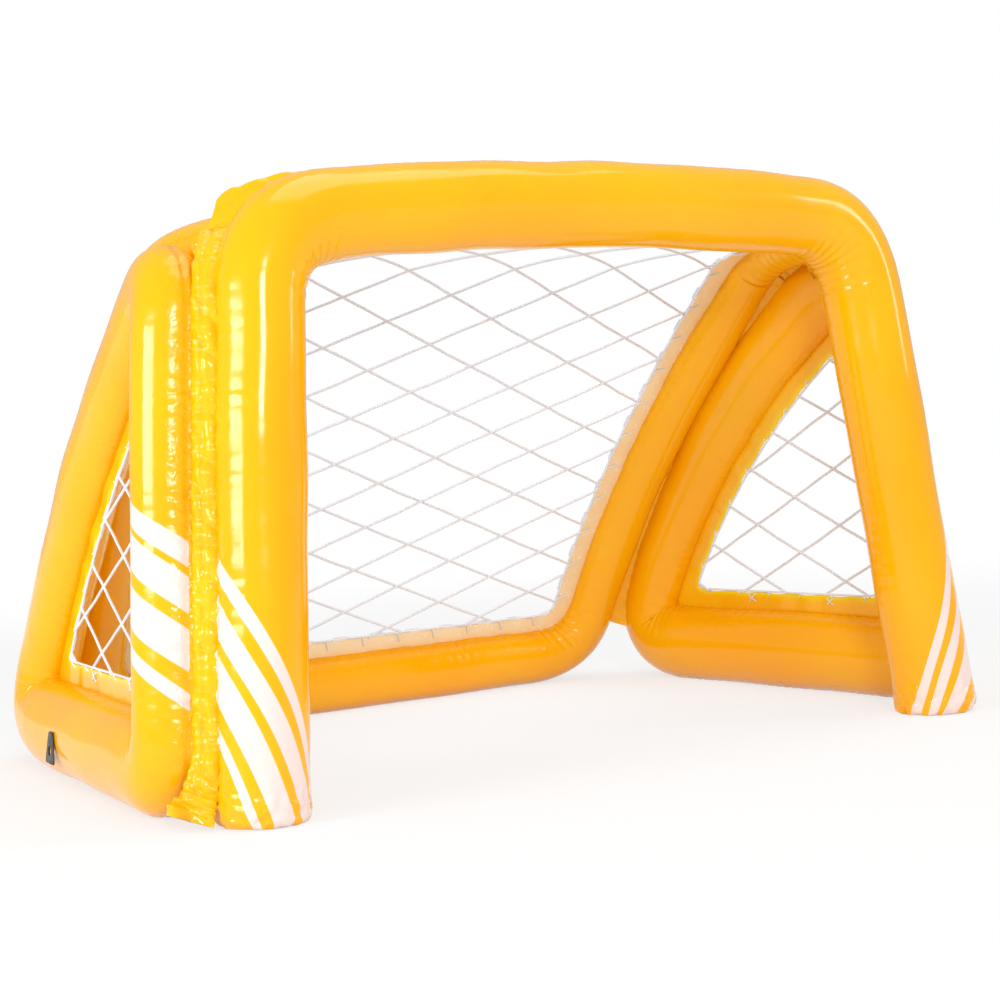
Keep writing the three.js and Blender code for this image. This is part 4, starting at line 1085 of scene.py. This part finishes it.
# The side opening: a convex shape, found as the nearest of its edge lines on rays from a point inside it
def sideOutline():
    bowed = inRing(ringSlope[::-1])
    starts = np.vstack([[0, 0], bowed[:-1], inRing(ringTop)])
    runs = unit(np.vstack([inRing(ringBack), np.diff(bowed, axis=0), -inRing(ringTop)]))
    slope = np.full(len(bowed) - 1, ring["slope"][1])
    half = np.concatenate([[ring["bottom"][1]], slope, [ring["post"][1]]])
    inward = np.stack([-runs[:, 1], runs[:, 0]], 1)
    starts = starts + inward * (half + opening["flange"])[:, None]
    centre = vec(*opening["sideCentre"])
    turn = np.linspace(0, 2 * np.pi, opening["rays"], endpoint=False)
    rays = np.stack([np.cos(turn), np.sin(turn)], 1)
    closing = -(rays @ inward.T)
    reach = ((centre - starts) * inward).sum(1)
    reach = np.where(closing > 1e-6, reach / np.maximum(closing, 1e-6), 9).min(1)
    return centre + rays * reach[:, None]


# A flat loop's inward directions: its run turned by a quarter, to the side that its area's sign gives
def inwardOf(loop, run):
    area = (loop[:, 0] * np.roll(loop[:, 1], -1) - np.roll(loop[:, 0], -1) * loop[:, 1]).sum()
    return np.stack([-run[:, 1], run[:, 0]], 1) * np.sign(area)


# An outline with rounded corners at equal steps, its inward directions, and the distance along it
def smoothLoop(outline, rows):
    loop = evenly(outline, rows, True)
    step = np.linalg.norm(loop[1] - loop[0])
    loop = evenly(softened(loop, opening["round"] / step), rows, True)
    run = unit(np.roll(loop, -1, 0) - np.roll(loop, 1, 0))
    return loop, inwardOf(loop, run), travelled(loop, True)


# rim is the width of the painted light along the band's edge, where light shines through it
bandLook = {"sides": 26, "scallop": 0.0007, "wavy": 0.0009, "waveLength": 0.07, "pull": 0.0005, "rim": 0.1}


# A band from the opening's edge back into the tube, flat with blocky edges. Its edge is scalloped as
# cos(phase) between the lacing's holes, and its face is wavy. Where keep is given, it has only those rows.
def flangeBand(name, loop, inward, distance, place, keep, depth, node, seed, mirrored=False, pale=0):
    look = bandLook
    phase = distance[:-1] * round(distance[-1] / opening["lacePitch"]) / distance[-1]
    angle = np.linspace(0, 2 * np.pi, look["sides"], endpoint=False)
    out = (1 - blocky(np.cos(angle), 0.55)) / 2
    thick = blocky(np.sin(angle), 0.5) * opening["thick"]
    edge = look["scallop"] * np.cos(2 * np.pi * (phase - 0.25))
    wavy = look["wavy"] * waves(distance[:-1], look["waveLength"], seed)
    wavy = wavy + look["pull"] * np.sin(2 * np.pi * phase)
    outward = edge[:, None] * (1 - out)[None] + out[None] * depth
    spots = loop[:, None] - inward[:, None] * outward[..., None]
    points = place(spots[..., 0], spots[..., 1], thick[None] + wavy[:, None] * (1 - out[None] ** 2))
    # Painted light: rim brightens the band's thin edge as if light shone through it, and pale, where given,
    # paints a backlit glow over the band
    rim = np.exp(-((out / look["rim"]) ** 2)) * (1 - pale)
    layers = {"weld": 0.25 + 0.6 * out, "rim": rim, "pale": pale * np.clip(1.9 - 1.6 * out, 0, 1)}
    if keep is None:
        everything, faces = points.reshape(-1, 3), [gridFaces(*points.shape[:2], True, True)]
    else:
        points = points[keep]
        everything, faces = cappedTube(points)
    layers = {key: np.broadcast_to(values, points.shape[:2]).copy() for key, values in layers.items()}
    faces = outwardFaces(everything, faces)
    addPiece(name, everything, faces, weldedVinyl, node, layers=layers, mirrored=mirrored)


# Strands run slantwise through a lattice of knots: u = start + slant * pitch * k, v = rise(k). Each is
# clipped to the outline, seen in the lattice's own coordinates (u, k), where every strand is straight.
def netStrands(loop, lattice):
    levels = np.linspace(*lattice["levels"], 400)
    inLattice = np.stack([loop[:, 0], np.interp(loop[:, 1], lattice["rise"](levels), levels)], 1)
    inward = inwardOf(inLattice, np.roll(inLattice, -1, 0) - inLattice)
    starts = lattice["start"] + 2 * lattice["pitch"] * np.arange(-lattice["most"], lattice["most"] + 1)
    origin = np.stack([starts, np.zeros(len(starts))], 1)
    found = []
    for slant in (-1, 1):
        closing = inward @ vec(slant * lattice["pitch"], 1)
        reach = ((inLattice[None] - origin[:, None]) * inward[None]).sum(-1)
        reach = reach / np.where(np.abs(closing) < 1e-12, 1e-12, closing)
        low = np.where(closing > 0, reach, -99).max(1)
        high = np.where(closing < 0, reach, 99).min(1)
        keep = high - low > lattice["least"]
        found += [np.stack([starts[keep], np.full(keep.sum(), slant), low[keep], high[keep]], 1)]
    return np.vstack(found)


# The knots (u, k) at every whole k on the strands of one slant
def knotSpots(strands, lattice):
    spots = []
    for start, _, low, high in strands[strands[:, 1] > 0]:
        level = np.arange(math.ceil(low), math.floor(high) + 1)
        spots.append(np.stack([start + lattice["pitch"] * level, level], 1))
    return np.vstack(spots)


netLook = {
    "radius": 0.0021, "sides": 6, "steps": 110, "sag": 0.0009, "apart": 0.0006, "knot": 0.0027,
    "knotForm": (1.7, 1.15, 0.85), "knotGrid": (7, 8), "border": 0.0017, "borderIn": 0.0022,
    "borderSides": 8, "borderEvery": 4,
}


# The strands: between two knots each sags and strays as sin(pi k)^2, and one slant lies over the other
def netCords(strands, lattice, place, seed, look):
    level = strands[:, 2:3] + (strands[:, 3:] - strands[:, 2:3]) * np.linspace(0, 1, look["steps"])
    u = strands[:, :1] + strands[:, 1:2] * lattice["pitch"] * level
    loose = look["sag"] * np.sin(np.pi * (level % 1)) ** 2
    wander = np.random.default_rng(seed).uniform(-1, 1, (len(strands), 1))
    v = lattice["rise"](level) + loose * np.sin(level * 2.1 + wander * 6)
    height = loose * np.cos(level * 1.7 + wander * 5) + strands[:, 1:2] * look["apart"]
    path = place(u, v, height)
    points, across = cordGrid(path, look["radius"], place(u, v, height + 0.01) - path, look["sides"], False)
    steps = np.linalg.norm(np.diff(path, axis=1), axis=-1)
    along = np.concatenate([np.zeros((len(path), 1)), np.cumsum(steps, 1)], 1)
    faces = gridFaces(look["steps"], look["sides"], False, True, len(strands))
    return (points.reshape(-1, 3), [faces]), cordMap(along, across), float(along[:, -1].sum())


# The knots: spheres (cos polar, sin polar cos turn, sin polar sin turn), stretched along the net's width, its
# length and its thickness by the form's three numbers
def netKnots(spots, lattice, place, look):
    u, v, flat = spots[:, 0], lattice["rise"](spots[:, 1]), np.zeros(len(spots))
    centre = place(u, v, flat)
    alongU = unit(place(u + 0.01, v, flat) - centre)
    outOf = unit(place(u, v, flat + 0.01) - centre)
    rows, columns = look["knotGrid"]
    polar = np.linspace(0.02, np.pi - 0.02, rows)[:, None]
    turn = np.linspace(0, 2 * np.pi, columns, endpoint=False)[None]
    sphere = [np.cos(polar) + 0 * turn, np.sin(polar) * np.cos(turn), np.sin(polar) * np.sin(turn)]
    directions = (alongU, np.cross(outOf, alongU), outOf)
    parts = [d[:, None, None] * (s * b)[..., None] for d, s, b in zip(directions, look["knotForm"], sphere)]
    points = centre[:, None, None] + look["knot"] * sum(parts)
    return points.reshape(-1, 3), [gridFaces(rows, columns, False, True, len(spots))]


# The border: a cord round the net, a little inside the opening's edge
def netBorder(loop, inward, distance, place, look):
    edge = (loop + inward * look["borderIn"])[:: look["borderEvery"]]
    path = place(edge[:, 0], edge[:, 1], np.zeros(len(edge)))
    guide = place(edge[:, 0], edge[:, 1], np.full(len(edge), 0.01)) - path
    points, across = cordGrid(path, look["border"], guide, look["borderSides"], True)
    faces = [gridFaces(len(path), look["borderSides"], True, True)]
    return (points.reshape(-1, 3), faces), cordMap(distance[:-1][:: look["borderEvery"]], across)


# A net: strands, knots and border
def addNet(name, loop, inward, distance, place, lattice, node, seed, mirrored=False):
    strands = netStrands(loop, lattice)
    spots = knotSpots(strands, lattice)
    cords, cordUv, metres = netCords(strands, lattice, place, seed, netLook)
    knots = netKnots(spots, lattice, place, netLook)
    border, borderUv = netBorder(loop, inward, distance, place, netLook)
    points, faces = joined([cords, knots, border])
    uv = np.vstack([cordUv, np.zeros((len(knots[0]), 2)), borderUv])
    addPiece(name, points, faces, netCord, node, uv=uv, mirrored=mirrored)
    print(name, "strands", len(strands), "knots", len(spots), "cord metres", round(metres, 2))


laceLook = {
    "radius": 0.0014, "lift": 0.003, "sides": 8, "each": 30, "over": 0.0035, "inset": 0.017,
    "width": 0.5, "crosses": (),
}
sideLaceLook = {
    **laceLook, "radius": 0.001,
    "lift": 0.0022, "over": 0.002, "inset": 0.005, "crosses": ((0.367, 0.083), (0.193, 0.083)),
    "crossArm": (0.0075, 0.006), "crossLift": 0.0024, "crossRows": 24,
}


# A guide that never lines up with the cord: its bending direction, smoothed along it
def steadyGuide(path):
    away = path - softened(path, 11)
    return unit(softened(away, 2) + 1e-9)


# A whip stitch: along the net's border, then across the flange by reach, which falls from over the edge to
# the hole as exp(-(phase - pi)^2 / width^2), on the front before the hole and on the back after it
def addLace(name, loop, inward, distance, place, node, look, mirrored=False):
    length, turns = distance[-1], round(distance[-1] / opening["lacePitch"])
    at = np.linspace(0, length, turns * look["each"], endpoint=False)
    phase = 2 * np.pi * (at * turns / length % 1)
    pulse = np.exp(-(((phase - np.pi) / look["width"]) ** 2))
    reach = look["over"] - (look["over"] + look["inset"]) * pulse
    spot = sampled(at, distance, around(loop, True))
    spot = spot + unit(sampled(at, distance, around(inward, True))) * reach[:, None]
    path = place(spot[:, 0], spot[:, 1], look["lift"] * np.clip(3 * np.sin(phase), -1, 1))
    points, across = cordGrid(path, look["radius"], steadyGuide(path), look["sides"], True)
    along = travelled(path, True)
    stitches = [(points.reshape(-1, 3), [gridFaces(len(path), look["sides"], True, True)])]
    if look["crosses"]:
        stitches.append(crossStitches(look, place))
    everything, faces = joined(stitches)
    addPiece(name, everything, faces, netCord, node, uv=cordMap(along[:-1], across), mirrored=mirrored)
    print(name, "cord metres", round(float(along[-1]), 2))


# Two slanting loops through the band at each spot: centre + arm cos(turn), lifted by sin(turn)
def crossStitches(look, place):
    rows, sides = look["crossRows"], look["sides"]
    turn = np.linspace(0, 2 * np.pi, rows, endpoint=False)
    arms = np.array([(u, v, slant) for u, v in look["crosses"] for slant in (-1, 1)])
    u = arms[:, :1] + look["crossArm"][0] * np.cos(turn)
    v = arms[:, 1:2] + arms[:, 2:] * look["crossArm"][1] * np.cos(turn)
    path = place(u, v, look["crossLift"] * np.sin(turn) + 0 * u)
    points, _ = cordGrid(path, look["radius"], path - path.mean(1, keepdims=True), sides, True)
    return points.reshape(-1, 3), [gridFaces(rows, sides, True, True, len(arms))]


# The distance down the rear net to knot k, whose cells grow shorter by the same amount from each to the next
def rearRise(k):
    return -0.0114 + 0.0525 * k - 0.00064 * k * (k - 1) / 2


# The height of a side net's knot k, in equal cells
def sideRise(k):
    return 0.162 + 0.04525 * k


rearLattice = {
    "start": -0.04, "pitch": 0.09, "rise": rearRise, "levels": (-2, 26), "most": 30,
    "least": 0.15,
}
sideLattice = {**rearLattice, "start": 0.246, "rise": sideRise, "levels": (-8, 16)}
rearLoop = (*smoothLoop(rearOutline(), opening["rows"]["rear"]), rearPlace)
sideLoop = (*smoothLoop(sideOutline(), opening["rows"]["side"]), sidePlace)


# The rear opening: its band is cut in two where it passes the line split behind the crossbar
def rearOpening():
    loop, depth = rearLoop[0], opening["flange"] + opening["tuck"]["rear"]
    y = rearPlace(loop[:, 0], loop[:, 1], np.zeros(len(loop)))[:, 1]
    split = front["lean"] + front["radius"] + opening["split"]
    start = int(np.flatnonzero((y >= split) & (np.roll(y, 1) < split))[0])
    order = (np.arange(len(loop)) + start) % len(loop)
    # pale=1 paints a pale backlit glow with highlight streaks on both rear bands: painted light
    flangeBand("rear_band", *rearLoop, order[y[order] >= split], depth, "rear_flange", 71, pale=1)
    flangeBand("crossbar_band", *rearLoop, order[y[order] < split], depth, "crossbar_flange", 71, pale=1)
    addNet("rear_netting", *rearLoop, rearLattice, "rear_net", 81)
    addLace("rear_lace", *rearLoop, "rear_lacing", laceLook)


# The side openings, made on the right and mirrored for the left
def sideOpenings():
    depth = opening["flange"] + opening["tuck"]["side"]
    for name, mirrored, seed in (("left", True, 91), ("right", False, 97)):
        flangeBand(f"{name}_band", *sideLoop, None, depth, f"{name}_flange", seed, mirrored)
        addNet(f"{name}_netting", *sideLoop, sideLattice, f"{name}_net", seed + 1, mirrored)
        addLace(f"{name}_lace", *sideLoop, f"{name}_lacing", sideLaceLook, mirrored)


rearOpening()
sideOpenings()
print("stage: flanges, nets and lacing")

# Tether tabs

tab = {
    "along": 0.375,
    "corners": ((-0.021, -0.036), (0.021, -0.036), (0.009, 0.008), (-0.009, 0.008)),
    "eye": 0.006, "eyeBelow": 0.018, "rows": 96, "sides": 28, "thick": 0.0012, "clear": 0.0016,
    "rims": ((0.0004, 0.14, 0.1), (0.0003, 0.9, 0.08)),
}


# A plate whose section runs from the eye's edge out to the outline and back, with round edges, and at both a
# raised rim: height exp(-((share - place) / width)^2)
def tetherTab(name, mirrored, look):
    outline = evenly(softened(evenly(np.array(look["corners"]), 240, True), 5), look["rows"], True)
    centre = vec(0, -look["eyeBelow"])
    turn = np.arctan2(*(outline - centre).T[::-1])
    outline, turn = outline[np.argsort(turn)], np.sort(turn)
    eye = centre + look["eye"] * np.stack([np.cos(turn), np.sin(turn)], 1)
    section = np.linspace(0, 2 * np.pi, look["sides"], endpoint=False)
    share = (1 - blocky(np.cos(section), 0.45)) / 2
    spots = eye[:, None] + (outline - eye)[:, None] * share[None, :, None]
    rim = sum(tall * np.exp(-(((share - at) / width) ** 2)) for tall, at, width in look["rims"])
    stand = ring["bottom"][0] + look["clear"]
    height = np.sign(ringNormal[0]) * (stand + (look["thick"] + rim) * blocky(np.sin(section), 0.35))
    height = np.broadcast_to(height, spots.shape[:2])
    points = sidePlace(look["along"] + spots[..., 0], spots[..., 1], height).reshape(-1, 3)
    faces = outwardFaces(points, [gridFaces(len(outline), look["sides"], True, True)])
    addPiece(f"{name}_tab", points, faces, blackPlastic, f"{name}_tether_tab", mirrored=mirrored)


tetherTab("left", True, tab)
tetherTab("right", False, tab)
print("stage: tabs")

# Valves: profiles turned round the seat's outward direction

valve = {
    "base": 0.018, "deep": 0.0046, "rise": 0.0008, "slope": 0.002, "stem": 0.007,
    "bore": 0.0043, "long": 0.012, "rim": 0.010, "rimThick": 0.002, "gap": 0.00035,
    "pin": 0.0039, "pinLong": 0.008, "cap": 0.0085, "capThick": 0.0016, "middle": 1e-5,
    "sides": 64, "rows": 120,
    "tab": {"start": 0.0045, "past": 0.007, "half": 0.003, "round": 0.003, "rows": 30, "sides": 16},
}


# A profile of radius and height turned about the axis: (r cos(angle), r sin(angle), z). Before that it is
# cut into equal steps, and its corners are smoothed over width rows.
def turnedGrid(corners, width):
    r, z = softened(evenly(np.array(corners, float), valve["rows"], True), width).T[..., None]
    angle = np.linspace(0, 2 * np.pi, valve["sides"], endpoint=False)
    return np.stack(np.broadcast_arrays(r * np.cos(angle), r * np.sin(angle), z), -1)


# The plug's lift tab: a flat bar from the middle out past the cap, with blocky edges and a round tip
def liftTab(look, height, thick):
    section = np.linspace(0, 2 * np.pi, look["sides"], endpoint=False)
    length = np.linspace(look["start"], valve["cap"] + look["past"], look["rows"])[:, None]
    past = np.clip((length - length[-1] + look["round"]) / look["round"], 0, 1)
    narrowing = np.sqrt(np.clip(1 - past**2, 1e-4, 1))
    narrowing[0] *= 0.01
    wide = look["half"] * blocky(np.cos(section), 0.5)[None] * narrowing
    high = height + thick / 2 * blocky(np.sin(section), 0.5)[None] * narrowing
    return np.stack(np.broadcast_arrays(length, wide, high), -1)


# Places closed grids at a seat, turned so that their +Z is its outward direction
def addTurned(name, grids, seat, outward, finish, body, node):
    turn = np.array(Vector((0, 0, 1)).rotation_difference(Vector(outward)).to_matrix())
    shells = []
    for grid in grids:
        flat = grid.reshape(-1, 3)
        shells.append((flat, outwardFaces(flat, [gridFaces(*grid.shape[:2], True, True)])))
    points, faces = joined(shells)
    layers = {"weld": np.full(len(points), 0.3)}
    addPiece(name, points @ turn.T + seat, faces, finish, node, body, layers=layers)


# A valve: the welded seat with its hole, the stem's tube with a rim on top, and the plug's pin, cap and tab
def addValve(name, seat, outward):
    v = valve
    hole, rimFoot = v["stem"] + v["gap"], v["rise"] + v["gap"]
    top = rimFoot + v["rimThick"]
    capFoot = top + v["gap"]
    capTop, low = capFoot + v["capThick"], capFoot - v["pinLong"]
    base = [(hole, -v["deep"]), (v["base"], -v["deep"]), (v["base"], 0)]
    base += [(hole + v["slope"], v["rise"]), (hole, v["rise"])]
    stem = [(v["bore"], -v["long"]), (v["stem"], -v["long"]), (v["stem"], rimFoot)]
    stem += [(v["rim"], rimFoot), (v["rim"], top), (v["bore"], top)]
    cap = [(v["middle"], low), (v["pin"], low), (v["pin"], capFoot)]
    cap += [(v["cap"], capFoot), (v["cap"], capTop), (v["middle"], capTop)]
    lift = liftTab(v["tab"], (capFoot + capTop) / 2, v["capThick"])
    for label, part, grids, finish, body in (
        ("seat", "base", [turnedGrid(base, 1.2)], weldedVinyl, "goal"),
        ("tube", "stem", [turnedGrid(stem, 1.2)], clearVinyl, f"{name}_stem"),
        ("cap", "plug", [turnedGrid(cap, 1.0), lift], clearVinyl, f"{name}_plug"),
    ):
        addTurned(f"{name}_valve_{label}", grids, seat, outward, finish, body, f"{name}_valve_{part}")


for name, (seat, outward) in valveSeats.items():
    addValve(name, seat, outward)
print("stage: valves")

# Floor, lamps and surroundings

surroundings = {
    "floorSize": 60, "floorSunk": 0.0005, "floor": (0.9, 0.9, 0.9, 1), "roughness": 0.9,
    "specular": 0.1, "bright": 0.7, "fade": (1.1, 3.2), "world": 0.52,
}
lamps = {
    "mainBox": {"place": (-1.9, -4.4, 2.0), "aim": (-0.5, -0.4, 0.55), "size": (0.8, 1.0), "power": 70},
    "leftBox": {"place": (-3.9, -0.7, 1.25), "aim": (-0.5, -0.3, 0.5), "size": (1.9, 0.85), "power": 72},
    "topBox": {"place": (0.3, -0.4, 3.6), "aim": (0, 0, 0), "size": (2.4, 2.4), "power": 40},
    "rightBox": {"place": (3.2, -2.4, 1.8), "aim": (0.3, 0, 0.4), "size": (0.5, 1.6), "power": 20},
}


# One where the ray comes from the camera or is of one of the given kinds, or else zero
def seenBy(tree, *kinds):
    path = addNode(tree, "ShaderNodeLightPath")
    seen = path.outputs["Is Camera Ray"]
    for kind in kinds:
        seen = maths(tree, "MAXIMUM", seen, path.outputs[kind])
    return seen


# A pale floor that glows white where it is seen, more from near the object to far from it
def addFloor(look):
    bpy.ops.mesh.primitive_plane_add(size=look["floorSize"], location=(0, 0, -look["floorSunk"]))
    floor = bpy.context.object
    floor.name = "floor"
    material, tree, shader = newMaterial("paleFloor")
    feed(tree, shader, {"Base Color": look["floor"], "Roughness": look["roughness"]})
    feed(tree, shader, {"Specular IOR Level": look["specular"]})
    white = addNode(tree, "ShaderNodeEmission", {"Color": (1, 1, 1, 1), "Strength": 1.0}).outputs[0]
    away = addNode(tree, "ShaderNodeVectorMath", {0: objectCoords(tree)}, operation="LENGTH")
    far = spread(tree, away.outputs["Value"], *look["fade"], look["bright"], 1)
    share = maths(tree, "MULTIPLY", seenBy(tree, "Is Glossy Ray", "Is Transmission Ray"), far)
    mix = addNode(tree, "ShaderNodeMixShader", {0: share, 1: shader.outputs[0], 2: white})
    feed(tree, tree.nodes["Material Output"], {"Surface": mix.outputs[0]})
    floor.data.materials.append(material)


# White all round, at full strength where it is seen and less as light on the object
def addWorld(look):
    world = bpy.data.worlds.new("studioWorld")
    bpy.context.scene.world = world
    world.use_nodes = True
    tree = world.node_tree
    strength = spread(tree, seenBy(tree, "Is Transmission Ray"), 0, 1, look["world"], 1.0)
    feed(tree, tree.nodes["Background"], {"Color": (1, 1, 1, 1), "Strength": strength})


# A soft box: a lamp of the given size that looks from its place at its aim
def addLamp(name, lamp):
    data = bpy.data.lights.new(name, "AREA")
    data.shape = "RECTANGLE"
    data.size, data.size_y = lamp["size"]
    data.energy = lamp["power"]
    light = bpy.data.objects.new(name, data)
    light.location = lamp["place"]
    light.rotation_euler = (Vector(lamp["aim"]) - Vector(lamp["place"])).to_track_quat("-Z", "Y").to_euler()
    bpy.context.scene.collection.objects.link(light)


addFloor(surroundings)
addWorld(surroundings)
for name, lamp in lamps.items():
    addLamp(name, lamp)
bpy.context.scene.view_settings.view_transform = "Standard"
print("stage: studio")

bpy.context.view_layer.update()
